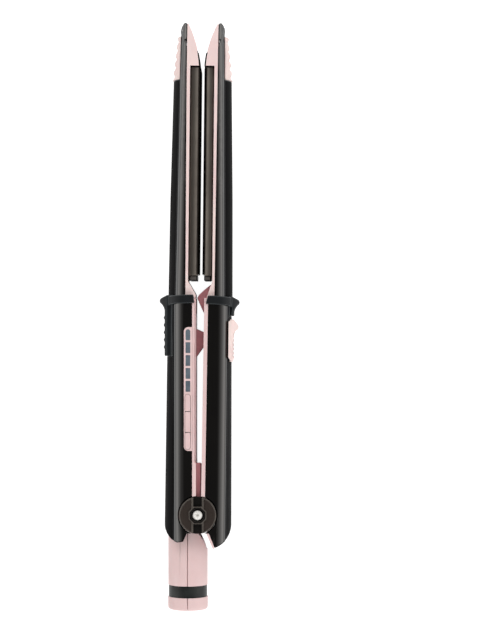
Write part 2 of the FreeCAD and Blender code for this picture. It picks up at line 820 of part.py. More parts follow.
def make_handle(arm, frame, liner_outline, shell_cuts, liner_cuts, spine_cuts):
    """Shell, spine cover, liner and screws of one handle."""
    envelope = handle_envelope(arm, frame)
    back = f"{arm}_back"
    shell_plan = box(arm + "_shell_block", frame, ("0", "-20", "-20"), (back, "joint_line", "20"))
    liner_plan = prism(arm + "_liner_plan", frame, "top", liner_outline, "-20", "20")
    hollow = prism(arm + "_handle_hollow", frame, "end",
                   [("0", "-handle_half + shell_wall"), (f"{back} - shell_wall", "-handle_half + shell_wall"),
                    (f"{back} - shell_wall", "handle_half - shell_wall"), ("0", "handle_half - shell_wall")],
                   "-throat_low - 1", "joint_line + 1",
                   rounds=[(1, "handle_corner - shell_wall"), (2, "handle_corner - shell_wall")])
    heel_room = prism(arm + "_heel_room", frame, "top",
                      [("0", "joint_line + 2"), ("24", "joint_line + 2"), ("24", "2"),
                       (f"{arm}_top_low - 3.4", "2"),
                       (f"{arm}_top_low - 3.4", "-heel_start", f"{arm}_heel_bow - 3.4"),
                       (f"{arm}_heel", "-throat_low - 1"), ("0", "-throat_low - 1")], "-20", "20")
    hinge_room = disc(arm + "_hinge_room", HINGE, "top", ("0", "0"), "hinge_room", "-20", "20")
    levels = ("handle_screw_low", "handle_screw_high")
    bosses = [disc(f"{arm}_boss_{n}", frame, "side", (y, "0"), "boss_radius", f"{arm}_seam_low", f"{back} - 0.5")
              for n, y in enumerate(levels, start=1)]
    holes = [screw_hole(arm, frame, n, y) for n, y in enumerate(levels, start=1)]
    skin = common(arm + "_handle_skin", envelope, shell_plan)
    shell = cut(arm + "_handle_open", skin, common(arm + "_handle_room", hollow, heel_room))
    bossed = fuse(arm + "_handle_bossed", shell, *bosses)
    node(cut(arm + "_handle_shell", bossed, liner_plan, hinge_room, *holes, *shell_cuts),
         arm + "_handle_shell")
    liner = common(arm + "_liner_whole", envelope, liner_plan)
    node(cut(arm + "_handle_liner", liner, hinge_room, *holes, *liner_cuts), arm + "_handle_liner")
    spine = common(arm + "_handle_spine_whole", envelope,
                   box(arm + "_spine_block", frame, (back, "-20", "-20"), ("24", "joint_line", "20")))
    node(cut(arm + "_handle_spine", spine, *spine_cuts) if spine_cuts else spine, arm + "_handle_spine")
    screws = [handle_screw(arm, frame, n, y) for n, y in enumerate(levels, start=1)]
    node(group(arm + "_handle_screws", *screws), arm + "_handle_screws")
    return envelope


def crowned_block(name, frame, arm, top, rise, low, high):
    """Block with the handle's outline across it, its crest at top, raised all round."""
    return prism(name, frame, "end", handle_section(arm, top, rise), low, high)


def make_collar(arm, frame, envelopes, ribbed):
    """Rubber band round the arm with its wing and sleeve, and on the left arm the ribbed thumb grip."""
    low, high = f"{arm}_collar_low", f"{arm}_collar_high"
    pad, middle, pad_low = f"{arm}_pad", f"{arm}_wing_mid", f"{arm}_pad_low"
    ring = crowned_block(arm + "_collar_ring", frame, arm, "spine_low", "collar_rise", f"{low} - 1", high)
    reach = prism(arm + "_collar_reach", frame, "top",
                  [(f"{arm}_band", low), (f"{arm}_band_high", high), ("7", f"{high} - 0.05"),
                   ("11.5", f"{high} - 0.35"), ("15.3", f"{high} - 0.7"), ("19", f"{high} - 2.4"),
                   ("26", f"{high} - 2.4"), ("26", f"{low} - 0.95"), ("15", f"{low} - 0.9"),
                   ("11", f"{low} - 0.3")], "-20", "20")
    base = f"{arm}_pad_seat + 0.2"
    wing = prism(arm + "_wing", frame, "top",
                 [(base, f"{middle} + wing_shoulder"), (f"{pad} - 1.2", f"{middle} + wing_shoulder"),
                  (f"{arm}_wing", f"{middle} + wing_thick / 2", "wing_round"),
                  (f"{arm}_wing", f"{middle} - wing_thick / 2", ("in", "6")),
                  (pad, f"{middle} - wing_drop"), (pad, pad_low), (base, pad_low)],
                 "-wing_half", "wing_half")
    rounded = prism(arm + "_wing_ends", frame, "end",
                    [("0", "-wing_half"), (f"{pad} - 1", "-wing_half", "wing_half + 2"),
                     (f"{pad} - 1", "wing_half"), ("0", "wing_half")], "60", "120")
    sleeve_form = lofted(arm + "_sleeve_form", frame,
                         [(y, handle_section(arm, handle_top(arm, y), "sleeve_rise"))
                          for y in (f"({pad_low} - 5)", "(joint_line + 1)")])
    sleeve_block = box(arm + "_sleeve_block", frame, (f"{arm}_pad_seat + 0.05", pad_low, "-20"),
                       ("24", f"{low} + 0.5", "20"))
    pieces = [common(arm + "_collar_band", ring, reach), common(arm + "_wing_shape", wing, rounded),
              common(arm + "_collar_sleeve", sleeve_form, sleeve_block)]
    if ribbed:
        for number in range(count("rib_count")):
            rib = disc(f"{arm}_rib_{number + 1}", frame, "top",
                       (f"{pad} - rib_radius + 0.45", f"rib_first + {number} * rib_pitch"),
                       "rib_radius", "-pad_half + 1.5", "pad_half - 1.5")
            pieces.append(rib)
    seat = cut(arm + "_pad_seat_form", envelopes[0], pad_recess(arm, frame, arm + "_pad_room"))
    node(cut(arm + "_collar", fuse(arm + "_collar_body", *pieces), seat, *envelopes[1:]), arm + "_collar")


def pad_recess(arm, frame, name):
    """Room in the handle's spine for the rubber below the collar."""
    return box(name, frame, (f"{arm}_pad_seat", f"{arm}_pad_low", "-20"), ("24", "joint_line + 1", "20"))


# Lock catch: a tongue on the left arm that stands into the right arm, with a notch for the bolt
catch_plan = [("-catch_root", "catch_low + 1"), ("-catch_root", "catch_high - 0.5"),
              ("-left_inner", "catch_high"), ("3.05", "catch_high - 1.8"), ("catch_end", "catch_high - 2.3"),
              ("catch_end", "catch_low + 5.7"), ("2.9", "catch_low + 5.2"), ("-left_inner", "catch_low")]
catch_body = prism("catch_body", HINGE, "top", catch_plan, "-catch_half", "catch_half")
catch_notch = box("catch_notch", HINGE, ("notch_in", "notch_floor", "-notch_half"),
                  ("notch_out", "catch_high + 1", "notch_half"))
node(cut("lock_catch", catch_body, catch_notch), "lock_catch")

# Guide wedge: it stands from the right arm into a slot in the left arm at the collar
wedge_plan = [("frame_face - 0.95", "wedge_high"), ("1.87", "wedge_high - 2.6"),
              ("-wedge_peak + 0.9", "wedge_peak_height + 1.55"), ("-wedge_peak", "wedge_peak_height"),
              ("-wedge_peak + 0.95", "wedge_peak_height - 2.25"), ("right_inner - 0.1", "wedge_low"),
              ("right_inner - 0.03", "right_collar_low"), ("wedge_root", "right_collar_low"),
              ("wedge_root", "joint_line + part_gap"), ("frame_face", "joint_line + part_gap"),
              ("frame_face", "wedge_high")]
wedge = prism("guide_wedge", RIGHT, "top", wedge_plan, "-wedge_half", "wedge_half")
node(wedge, "guide_wedge")
wedge_slot = box("wedge_slot", HINGE, ("-left_seam - 1", "wedge_low", "-wedge_half - wedge_room"),
                 ("2", "wedge_high - 1.5", "wedge_half + wedge_room"))

make_barrel("left", LEFT_BARREL, "left_nose", "left_nose_high", [wedge_slot])
make_barrel("right", RIGHT, "right_nose", "right_nose_high", [wedge])
make_plate("left", LEFT_BARREL, False)
make_plate("right", RIGHT, True)
make_leaf_springs("left", LEFT_BARREL)
make_leaf_springs("right", RIGHT)

# Tail: two half tubes about an axis beside the hinge, with a band in a groove
tail_x = "-tail_offset"
tail_bore = "tail_radius - tail_wall"
tube = turned("tail_tube",
              [("swivel_radius + 0.08", "-tail_end"), ("tail_flare - tail_round", "-tail_end", "tail_round"),
               ("tail_flare", "-tail_end + tail_round"), ("tail_flare", "-band_low"),
               ("band_seat", "-band_low"), ("band_seat", "-band_high"), ("tail_radius", "-band_high"),
               ("tail_radius", "-tail_top"), (tail_bore, "-tail_top"),
               (tail_bore, "-tail_end + tail_floor"), ("swivel_radius + 0.08", "-tail_end + tail_floor")],
              tail_x)
neck_cut = prism("neck_cut", HINGE, "top",
                 [("-neck_start", "-neck_high", ("in", "neck_bow")), ("neck_end", "-neck_low"),
                  ("tail_radius", "-neck_low - 0.6"), ("20", "-neck_low - 0.6"), ("20", "5"),
                  ("-neck_start", "5")], "-20", "20")
tail_hinge_room = disc("tail_hinge_room", HINGE, "top", ("0", "0"), "hinge_room + part_gap", "-20", "20")
tail_boss_length = "5.6"
screw_y = "-(band_high + band_low) / 2"
bosses = []
screws = []
screw_rooms = []
for number, height in enumerate(("tail_screw_height", "-tail_screw_height"), start=1):
    bosses.append(disc(f"tail_boss_{number}", HINGE, "side", (screw_y, height), "2",
                       f"-tail_offset - {tail_boss_length}", f"-tail_offset + {tail_boss_length}"))
    head = disc(f"tail_head_{number}", HINGE, "side", (screw_y, height), "tail_screw_head",
                "-tail_offset + tail_screw_seat", "-tail_offset + tail_screw_seat + 1")
    shank = disc(f"tail_shank_{number}", HINGE, "side", (screw_y, height), "tail_screw",
                 "-tail_offset - 4", "-tail_offset + tail_screw_seat")
    room = disc(f"tail_head_room_{number}", HINGE, "side", (screw_y, height), "tail_screw_head",
                "-tail_offset + tail_screw_seat", "-tail_offset + 9")
    screws.append(fuse(f"tail_screw_{number}", head, shank))
    screw_rooms.append(fuse(f"tail_screw_room_{number}", room, shank))
core_line = turned("tail_core", [("0", "-tail_end - 1"), ("band_seat - 0.2", "-tail_end - 1"),
                                 ("band_seat - 0.2", "0"), ("0", "0")], tail_x)
boss_group = common("tail_bosses", fuse("tail_boss_pair", *bosses), core_line)
grooves = [box(f"tail_groove_{side}", HINGE, ("-tail_offset - seam_groove", "-tail_end - 1", low),
               ("-tail_offset + seam_groove", "0", high))
           for side, low, high in (("front", "tail_radius - seam_depth", "20"),
                                   ("back", "-20", "seam_depth - tail_radius"))]
tail_body = cut("tail_body", fuse("tail_solid", tube, boss_group), neck_cut, tail_hinge_room, *screw_rooms,
                *grooves)
for side, low, high in (("left", "-40", "-tail_offset - part_gap / 2"),
                        ("right", "-tail_offset + part_gap / 2", "40")):
    half_space = box(f"tail_{side}_space", HINGE, (low, "-80", "-40"), (high, "40", "40"))
    node(common(f"tail_{side}_half", tail_body, half_space), f"tail_{side}_half")
node(turned("tail_band", [("band_seat", "-band_low"), ("band_radius", "-band_low"),
                          ("band_radius", "-band_high"), ("band_seat", "-band_high")], tail_x), "tail_band")
node(group("tail_screws", *screws), "tail_screws")
swivel_foot = "-tail_end + swivel_inset"
node(turned("cord_swivel",
            [("cord_radius", swivel_foot), ("swivel_radius", swivel_foot),
             ("swivel_radius", "-tail_end + tail_floor + 0.2"), ("swivel_flange", "-tail_end + tail_floor + 0.2"),
             ("swivel_flange", f"{swivel_foot} + swivel_length"), ("cord_radius", f"{swivel_foot} + swivel_length")],
            tail_x), "cord_swivel")
tail_room = turned("tail_room", [("0", "-tail_end"), ("tail_radius", "-tail_end"),
                                 ("tail_radius", "-tail_top + part_gap"), ("0", "-tail_top + part_gap")], tail_x)

# Display: a bezel in the front of the left handle, with light bars and three keys over a board
bezel_plan = [("left_seam", "bezel_low"), ("bezel_out", "bezel_low"), ("bezel_out", "bezel_high"),
              ("left_seam", "bezel_high")]
bezel_rounds = [(1, "bezel_round"), (2, "bezel_round")]
bezel_plate = prism("bezel_plate", LEFT_HANDLE, "top", bezel_plan, "bezel_under", "bezel_top", bezel_rounds)
bezel_room = prism("bezel_room", LEFT_HANDLE, "top", bezel_plan, "bezel_under - 1.5", "20", bezel_rounds)
bars = []
windows = []
lamps = []
for number in range(count("bar_count")):
    top = f"bar_first - {number} * bar_pitch"
    low = f"{top} - bar_length"
    corners = [("bar_in", low), ("bar_out", low), ("bar_out", top), ("bar_in", top)]
    rounds = [(2, "(bar_out - bar_in) / 2 - 0.05"), (3, "(bar_out - bar_in) / 2 - 0.05")] if number == 0 else ()
    bars.append(prism(f"bar_{number + 1}", LEFT_HANDLE, "top", corners, "bezel_under", "bezel_top - 0.05",
                      rounds))
    windows.append(prism(f"bar_window_{number + 1}", LEFT_HANDLE, "top", corners, "bezel_under", "20", rounds))
    middle = f"{top} - bar_length / 2"
    lamps.append(box(f"lamp_{number + 1}", LEFT_HANDLE, ("bar_in + 0.4", f"{middle} - lamp_half", "board_top"),
                     ("bar_out - 0.4", f"{middle} + lamp_half", "board_top + lamp_height")))
node(group("display_light_bars", *bars), "display_light_bars")
node(group("indicator_lamps", *lamps), "indicator_lamps")
key_round = "(key_out - key_in) / 2 - 0.05"
keys = {
    "power_key": ("key_upper + key_split / 2", "key_high", [(2, key_round), (3, key_round)]),
    "heat_up_key": ("key_lower + key_split / 2", "key_upper - key_split / 2", ()),
    "heat_down_key": ("key_low", "key_lower - key_split / 2", [(0, key_round), (1, key_round)]),
}
switches = []
for name, (low, high, rounds) in keys.items():
    corners = [("key_in", low), ("key_out", low), ("key_out", high), ("key_in", high)]
    cap = prism(name + "_cap", LEFT_HANDLE, "top", corners, "key_under", "key_top", rounds)
    flange = box(name + "_flange", LEFT_HANDLE, ("key_in - 0.4", f"{low} + 1.5", "key_under"),
                 ("key_out + 0.4", f"{high} - 1.5", "key_under + key_flange"))
    node(fuse(name, cap, flange), name)
    middle = f"({low} + {high}) / 2"
    centre = "(key_in + key_out) / 2"
    case = box(name + "_switch", LEFT_HANDLE, (f"{centre} - 1.2", f"{middle} - switch_half", "board_top"),
               (f"{centre} + 1.2", f"{middle} + switch_half", "board_top + switch_height"))
    stem = disc(name + "_stem", LEFT_HANDLE, "top", (centre, middle), "0.7", "board_top + switch_height",
                "board_top + switch_height + stem_height")
    switches.append(fuse(name + "_tact", case, stem))
node(group("tact_switches", *switches), "tact_switches")
key_hole = prism("key_hole", LEFT_HANDLE, "top",
                 [("key_in - key_gap", "key_low - key_gap"), ("key_out + key_gap", "key_low - key_gap"),
                  ("key_out + key_gap", "key_high + key_gap"), ("key_in - key_gap", "key_high + key_gap")],
                 "0", "20", [(n, key_round + " + key_gap") for n in range(4)])
node(cut("display_bezel", bezel_plate, key_hole, *windows), "display_bezel")
node(box("display_board", LEFT_HANDLE, ("left_seam + 0.3", "board_low", "board_under"),
         ("board_out", "board_high", "board_top")), "display_board")

# Lock slider that rides on the back of the right handle, with its hook inside
slider_plan = [("10", "slider_low"), ("slider_end", "slider_low"), ("slider_top", "slider_low + 2"),
               ("slider_top", "knob_waist - 1.5", ("in", "3")), ("knob_out", "knob_waist + 1.6"),
               ("knob_out", "knob_high"), ("slider_end", "slider_high"), ("10", "slider_high")]
slider_cap = common("slider_cap",
                    prism("slider_block", RIGHT, "top", slider_plan, "-slider_half", "slider_half"),
                    prism("slider_crown", RIGHT, "end",
                          [("0", "-slider_half"), ("knob_out - 3.2", "-slider_half", "slider_half + 1.5"),
                           ("knob_out - 3.2", "slider_half"), ("0", "slider_half")], "60", "110"))
slider_crest = handle_top("right", "(slider_low - lock_travel)")
slider_floor = crowned_block("slider_floor", RIGHT, "right", slider_crest, "slider_gap", "60", "110")
saddle_plan = prism("saddle_plan", RIGHT, "top",
                    [("right_back + 0.35", "slider_low + 2.4"), ("right_back + 1.65", "slider_low + 0.1"),
                     ("24", "slider_low + 0.1"), ("24", "slider_high - 0.1"),
                     ("right_back + 1.45", "slider_high - 0.1"), ("right_back + 0.35", "slider_high - 1.2")],
                    "-20", "20")
saddle = common("slider_saddle", saddle_plan,
                crowned_block("saddle_form", RIGHT, "right", slider_crest, "saddle_rise", "60", "110"))
hook_arm = box("hook_arm", RIGHT, ("bolt_in", "hook_low", "-hook_half"),
               ("slider_top - 0.5", "hook_high", "hook_half"))
grooves = [disc(f"slider_groove_{n + 1}", RIGHT, "top",
                ("slider_top + slider_groove - slider_groove_depth",
                 f"slider_low + slider_groove_first + {n} * slider_groove_pitch"),
                "slider_groove", "-20", "20") for n in range(5)]
node(cut("lock_slider", fuse("slider_body", slider_cap, saddle), slider_floor, hook_arm, *grooves),
     "lock_slider")
bolt = box("hook_bolt", RIGHT, ("bolt_in", "bolt_low", "-bolt_half"), ("bolt_out", "hook_high", "bolt_half"))
hook = fuse("hook_solid", hook_arm, bolt)
node(hook, "lock_hook")
stem_slot = box("stem_slot", RIGHT, ("8", "hook_low - lock_travel - move_gap", "-hook_half - move_gap"),
                ("24", "hook_high + move_gap", "hook_half + move_gap"))
retainer_plate = box("retainer_plate", RIGHT,
                     ("right_back - shell_wall - 0.2 - retainer_thick", "hook_low - 2", "-retainer_half"),
                     ("right_back - shell_wall - 0.2", "hook_high + 2", "retainer_half"))
node(cut("lock_retainer", retainer_plate, hook_arm), "lock_retainer")
catch_slot = box("catch_slot", RIGHT, ("0", "catch_low + 3.8", "-catch_half - 0.6"),
                 ("right_seam + 0.2", "catch_high - 0.7", "catch_half + 0.6"))

# Handles
left_liner = [("left_inner", "joint_line"), ("left_seam", "joint_line"), ("left_seam", "-throat_low"),
              ("left_inner", "-throat_low")]
right_liner = [("0", "joint_line"), ("right_seam", "joint_line"), ("right_seam_low", "0"), ("0", "0")]
heel_strip = prism("heel_strip", RIGHT, "top",
                   [("right_throat", "-throat_low"), ("right_throat + lining", "-throat_low"),
                    ("right_heel", "-right_heel_low"), ("right_heel_inner", "-right_heel_inner_low")],
                   "-20", "20")
lip_cuts = [box("left_lip_front", LEFT_HANDLE, ("0", "web_high", "lip_half"),
                ("left_inner + lip_step", "joint_line", "20")),
            box("left_lip_back", LEFT_HANDLE, ("0", "web_high", "-20"),
                ("left_inner + lip_step", "joint_line", "-lip_half"))]
left_envelope = make_handle("left", LEFT_HANDLE, left_liner, [bezel_room, tail_room],
                            [wedge_slot, catch_body] + lip_cuts,
                            [pad_recess("left", LEFT_HANDLE, "left_pad_recess"), tail_room])
right_envelope = make_handle("right", RIGHT, right_liner, [stem_slot, heel_strip], [catch_slot, wedge],
                             [pad_recess("right", RIGHT, "right_pad_recess"), stem_slot])

node(cut("right_heel_strip", common("heel_strip_whole", right_envelope, heel_strip),
         disc("heel_hinge_room", HINGE, "top", ("0", "0"), "hinge_room", "-20", "20")), "right_heel_strip")

# Collars
barrels = {arm: doc.getObject(arm + "_barrel_envelope") for arm in ("left", "right")}
frames = {arm: doc.getObject(arm + "_frame_trimmed") for arm in ("left", "right")}
make_collar("left", LEFT_HANDLE, [left_envelope, barrels["left"], frames["left"]], True)
make_collar("right", RIGHT, [right_envelope, barrels["right"], frames["right"], wedge], False)

# Hinge: the left arm's knuckle between the right arm's two ears, on one pin under two caps
ear_low = "knuckle_half + move_gap"
ear_high = "knuckle_half + move_gap + ear_thick"
knuckle = disc("knuckle_barrel", HINGE, "top", ("0", "0"), "knuckle_radius", "-knuckle_half", "knuckle_half")
knuckle_link = box("knuckle_link", HINGE, ("link_sink - left_back", "-2.5", "-knuckle_half"), ("0", "6", "knuckle_half"))
web = box("web", HINGE, ("-left_inner", "web_low", "-web_half"), ("web_right", "web_high", "web_half"))
web_link = box("web_link", HINGE, ("-left_inner", "5", "-knuckle_half"), ("web_right", "web_low + 1", "knuckle_half"))
pin_bore = disc("pin_bore", HINGE, "top", ("0", "0"), "pin_radius", "-20", "20")
shells = {arm: doc.getObject(arm + "_handle_shell") for arm in ("left", "right")}
node(cut("hinge_knuckle", fuse("knuckle_body", knuckle, knuckle_link, web, web_link), pin_bore,
         shells["left"]), "hinge_knuckle")
ears = []
fork_reach = "right_back - fork_sink"
for side, low, high in (("front", ear_low, ear_high), ("back", f"-({ear_high})", f"-({ear_low})")):
    ears.append(disc(f"ear_{side}", RIGHT, "top", ("0", "0"), "knuckle_radius", low, high))
    ears.append(box(f"ear_arm_{side}", RIGHT, ("0", "-4", low), (fork_reach, "6", high)))
bridge = box("fork_bridge", RIGHT, (f"{fork_reach} - 1.8", "-4", f"-({ear_high})"), (fork_reach, "6", ear_high))
ear_bore = disc("ear_bore", HINGE, "top", ("0", "0"), "pin_radius + pin_gap", "-20", "20")
node(cut("hinge_fork", fuse("fork_body", *ears, bridge), ear_bore, shells["right"]), "hinge_fork")
screw_hole_pin = disc("pin_thread", HINGE, "top", ("0", "0"), "screw_radius", "knuckle_half", "cap_under")
node(cut("hinge_pin", disc("pin_rod", HINGE, "top", ("0", "0"), "pin_radius", "-cap_under", "cap_under"),
         screw_hole_pin), "hinge_pin")
cap_disc = disc("cap_disc", HINGE, "top", ("0", "0"), "cap_radius", "cap_under", "cap_top")
cap_rim = disc("cap_rim", HINGE, "top", ("0", "0"), "cap_radius", "cap_under", "cap_top + 0.2", "cap_radius - 0.5")
band_length = "sqrt(cap_radius ^ 2 - cap_strip ^ 2) - 0.1"
cap_band = box("cap_band", HINGE, ("-cap_strip", f"-({band_length})", "cap_under"),
               ("cap_strip", band_length, "cap_top + 0.35"))
octagon_flat = "(cap_octagon * (sqrt(2) - 1))"
octagon_points = [("cap_octagon", f"-{octagon_flat}"), ("cap_octagon", octagon_flat),
                  (octagon_flat, "cap_octagon"), (f"-{octagon_flat}", "cap_octagon"),
                  ("-cap_octagon", octagon_flat), ("-cap_octagon", f"-{octagon_flat}"),
                  (f"-{octagon_flat}", "-cap_octagon"), (octagon_flat, "-cap_octagon")]
octagon = prism("cap_boss", HINGE, "top", octagon_points, "cap_under", "mid_height")
groove_front = box("cap_groove_front", HINGE, ("-cap_channel", "cap_octagon", "cap_top - 0.6"),
                   ("cap_channel", "12", "20"))
groove_back = box("cap_groove_back", HINGE, ("-cap_channel", "-12", "cap_top - 0.6"),
                  ("cap_channel", "-cap_octagon", "20"))
head_room = disc("cap_head_room", HINGE, "top", ("0", "0"), "screw_head + 0.5", "cap_top - 0.9", "20")
screw_room = disc("cap_screw_room", HINGE, "top", ("0", "0"), "screw_radius", "0", "20")
node(cut("hinge_cap", fuse("cap_body", cap_disc, cap_rim, cap_band, octagon),
         groove_front, groove_back, head_room, screw_room), "hinge_cap")
node(disc("hinge_back_cap", HINGE, "top", ("0", "0"), "cap_radius", "-mid_height", "-cap_under"),
     "hinge_back_cap")
head_foot = "cap_top - 0.9"
screw_head = disc("screw_head", HINGE, "top", ("0", "0"), "screw_head", head_foot,
                  f"{head_foot} + screw_head_height")
screw_shank = disc("screw_shank", HINGE, "top", ("0", "0"), "screw_radius", "knuckle_half + 0.5", head_foot)
node(fuse("hinge_screw", screw_head, screw_shank), "hinge_screw")
washers = []
for side, low, high in (("front", "knuckle_half + 0.05", "knuckle_half + 0.25"),
                        ("back", "-knuckle_half - 0.25", "-knuckle_half - 0.05")):
    washers.append(disc(f"washer_{side}", HINGE, "top", ("0", "0"), "knuckle_radius - 1.4", low, high,
                        "pin_radius"))
node(group("hinge_washers", *washers), "hinge_washers")


def opening_spring():
    """Coil round the pin, with a leg to each arm."""
    level = "knuckle_half + move_gap + ear_thick + move_gap + spring_wire"
    body = doc.addObject("PartDesign::Body", "spring_coil")
    HINGE.place(body)
    sketch = add_sketch(body, "spring_coil_sketch", "side", "0")
    draw_circle(sketch, ("-spring_turn", level), "spring_wire")
    coil = body.newObject("PartDesign::AdditiveHelix", "Coil")
    coil.Profile = sketch
    coil.ReferenceAxis = ([f for f in body.Origin.OriginFeatures if f.Role == "Z_Axis"][0], [""])
    coil.Mode = 1
    coil.Turns = 1
    coil.setExpression("Pitch", bind("spring_pitch"))
    left = disc("spring_leg_left", HINGE, "side", ("-spring_turn", level), "spring_wire", "-spring_leg", "0")
    right = disc("spring_leg_right", HINGE, "side", ("-spring_turn", level + " + spring_pitch"),
                 "spring_wire", "0", "spring_leg")
    return fuse("opening_spring", body, left, right)


node(opening_spring(), "opening_spring")

doc.recompute()

failed = []
for item in doc.Objects:
    if "Invalid" in item.State or "Error" in item.State:
        failed.append(f"{item.Name} ({item.Label}): {item.State}")
for item in nodes:
    if item.Shape.isNull() or not item.Shape.isValid() or item.Shape.Volume <= 0:
        failed.append(f"{item.Label}: no valid solid")
if failed:
    raise RuntimeError("; ".join(failed))

os.makedirs("parts", exist_ok=True)
for item in nodes:
    item.Shape.exportStep(f"parts/{item.Label}.step")
    print(f"{item.Label}: {len(item.Shape.Solids)} solids, {item.Shape.Volume:.1f} mm3")
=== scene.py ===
import logging
import math
from dataclasses import dataclass, field
from enum import Enum
from typing import Callable

import bpy
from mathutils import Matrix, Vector


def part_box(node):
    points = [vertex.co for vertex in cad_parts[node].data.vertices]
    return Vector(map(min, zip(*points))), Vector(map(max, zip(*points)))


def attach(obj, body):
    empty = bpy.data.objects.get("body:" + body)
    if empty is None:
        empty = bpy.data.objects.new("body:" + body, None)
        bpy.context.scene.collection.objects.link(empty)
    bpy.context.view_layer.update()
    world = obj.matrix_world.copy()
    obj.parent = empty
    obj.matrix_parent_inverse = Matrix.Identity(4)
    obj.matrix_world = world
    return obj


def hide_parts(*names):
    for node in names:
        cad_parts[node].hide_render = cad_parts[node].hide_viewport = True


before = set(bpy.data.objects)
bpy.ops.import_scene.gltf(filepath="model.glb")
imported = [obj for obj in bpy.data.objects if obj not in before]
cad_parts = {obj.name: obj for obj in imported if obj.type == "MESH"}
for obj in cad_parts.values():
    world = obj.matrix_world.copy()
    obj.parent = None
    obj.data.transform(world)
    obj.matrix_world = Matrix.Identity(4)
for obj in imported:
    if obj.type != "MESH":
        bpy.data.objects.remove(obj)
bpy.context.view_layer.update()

LOG = logging.getLogger("hair_crimper")
MM = 0.001
# How far both barrels lean towards +X at rest
BARREL_LEAN = math.radians(0.6)
PHOTO_WIDTH, PHOTO_HEIGHT = 498, 644
# Steps in a rounding that shows, and in one that is too narrow to show its steps
ROUND_STEPS, NARROW_STEPS = 3, 2
# In a copy of a CAD mesh, vertices this near become one and edges this short go, in metres
WELD, SLIVER = 2e-6, 2e-5


# Finishes


class Grain(Enum):
    """How a surface's fine texture runs."""

    EVEN = (1.0, 1.0, 1.0)
    ALONG = (1.0, 0.02, 1.0)


# Layers of the fine grain and of the broad drift
FINE_NOISE = {"Detail": 2.0, "Roughness": 0.55}
BROAD_NOISE = {"Detail": 3.0, "Roughness": 0.5}
# Values of the noise over which the colour drifts, and over which the roughness does
COLOUR_SPAN = {"From Min": 0.35, "From Max": 0.65}
ROUGHNESS_SPAN = {"From Min": 0.1, "From Max": 0.45}
# How far red, green and blue light goes into the pale plastics, in metres
LIGHT_DEPTH = (0.0012, 0.0008, 0.0007)


def linear(code: str) -> tuple[float, float, float, float]:
    """Turns an sRGB hex colour to linear red, green, blue and alpha.

    Args:
        code: Six hex digits, such as "e8cdcd".

    Returns:
        The linear colour.
    """
    parts = [int(code[place:place + 2], 16) / 255 for place in (0, 2, 4)]
    straight = [part / 12.92 if part <= 0.04045 else ((part + 0.055) / 1.055) ** 2.4
                for part in parts]
    return *straight, 1.0


def add_node(tree: bpy.types.NodeTree, kind: str, sockets: dict | None = None,
             **settings: object) -> bpy.types.Node:
    """Adds a shader node with its settings and links.

    Args:
        tree: The node tree that gets the node.
        kind: The node's type without its "ShaderNode".
        sockets: Input names or numbers, each with a value or with the output that is linked to it.
        **settings: Attributes of the node, such as operation or blend_type.

    Returns:
        The new node.
    """
    node = tree.nodes.new("ShaderNode" + kind)
    for name, setting in settings.items():
        setattr(node, name, setting)
    for name, source in (sockets or {}).items():
        if isinstance(source, bpy.types.NodeSocket):
            tree.links.new(source, node.inputs[name])
        else:
            node.inputs[name].default_value = source
    return node


@dataclass(frozen=True)
class Finish:
    """A surface: what it is made of and how it was made, as the eye sees it.

    The fine texture is a bump of a real grain size, the colour drifts a little over a larger size,
    and the roughness follows both.
    """

    name: str
    colour: str
    shade: str
    roughness: float
    roughness_drift: float = 0.05
    grain_mm: float = 0.4
    grain: Grain = Grain.EVEN
    relief_mm: float = 0.01
    drift_mm: float = 18.0
    ior: float = 1.5
    specular: float = 0.5
    coat: float = 0.0
    coat_roughness: float = 0.05
    metallic: float = 0.0
    subsurface: float = 0.0

    def material(self) -> bpy.types.Material:
        """Finds the node material of this finish, or makes it at its first use.

        Returns:
            The material.
        """
        known = bpy.data.materials.get(self.name)
        if known:
            return known
        made = bpy.data.materials.new(self.name)
        made.use_nodes = True
        tree = made.node_tree
        tree.nodes.clear()
        place = add_node(tree, "TexCoord").outputs["Object"]
        stretched = add_node(tree, "Mapping", {
            "Vector": place, "Scale": self.grain.value}).outputs["Vector"]
        fine = add_node(tree, "TexNoise", {
            "Vector": stretched, "Scale": 1 / (self.grain_mm * MM), **FINE_NOISE}).outputs[0]
        broad = add_node(tree, "TexNoise", {
            "Vector": place, "Scale": 1 / (self.drift_mm * MM), **BROAD_NOISE}).outputs[0]
        drift = add_node(tree, "MapRange", {"Value": broad, **COLOUR_SPAN}).outputs[0]
        colour = add_node(tree, "Mix", {
            "Factor": drift, "A": linear(self.colour), "B": linear(self.shade)},
            data_type="RGBA").outputs["Result"]
        both = add_node(tree, "Math", {0: broad, 1: fine}, operation="MULTIPLY").outputs[0]
        rough = add_node(tree, "MapRange", {
            "Value": both, **ROUGHNESS_SPAN, "To Min": self.roughness - self.roughness_drift,
            "To Max": self.roughness + self.roughness_drift}).outputs[0]
        bump = add_node(tree, "Bump", {
            "Height": fine, "Strength": 1.0, "Distance": self.relief_mm * MM}).outputs["Normal"]
        surface = add_node(tree, "BsdfPrincipled", {
            "Base Color": colour, "Roughness": rough, "Normal": bump, **self.constants()})
        add_node(tree, "OutputMaterial", {"Surface": surface.outputs[0]})
        return made

    def constants(self) -> dict:
        """Collects what is the same all over the surface.

        Returns:
            The shader's inputs and their values. A metal keeps the shader's own IOR.
        """
        values = {
            "Metallic": self.metallic,
            "Specular IOR Level": self.specular,
            "Coat Weight": self.coat,
            "Coat Roughness": self.coat_roughness,
            "Subsurface Weight": self.subsurface,
            "Subsurface Radius": LIGHT_DEPTH,
            "Subsurface Scale": 1.0,
        }
        if self.metallic == 0.0:
            values["IOR"] = self.ior
        return values


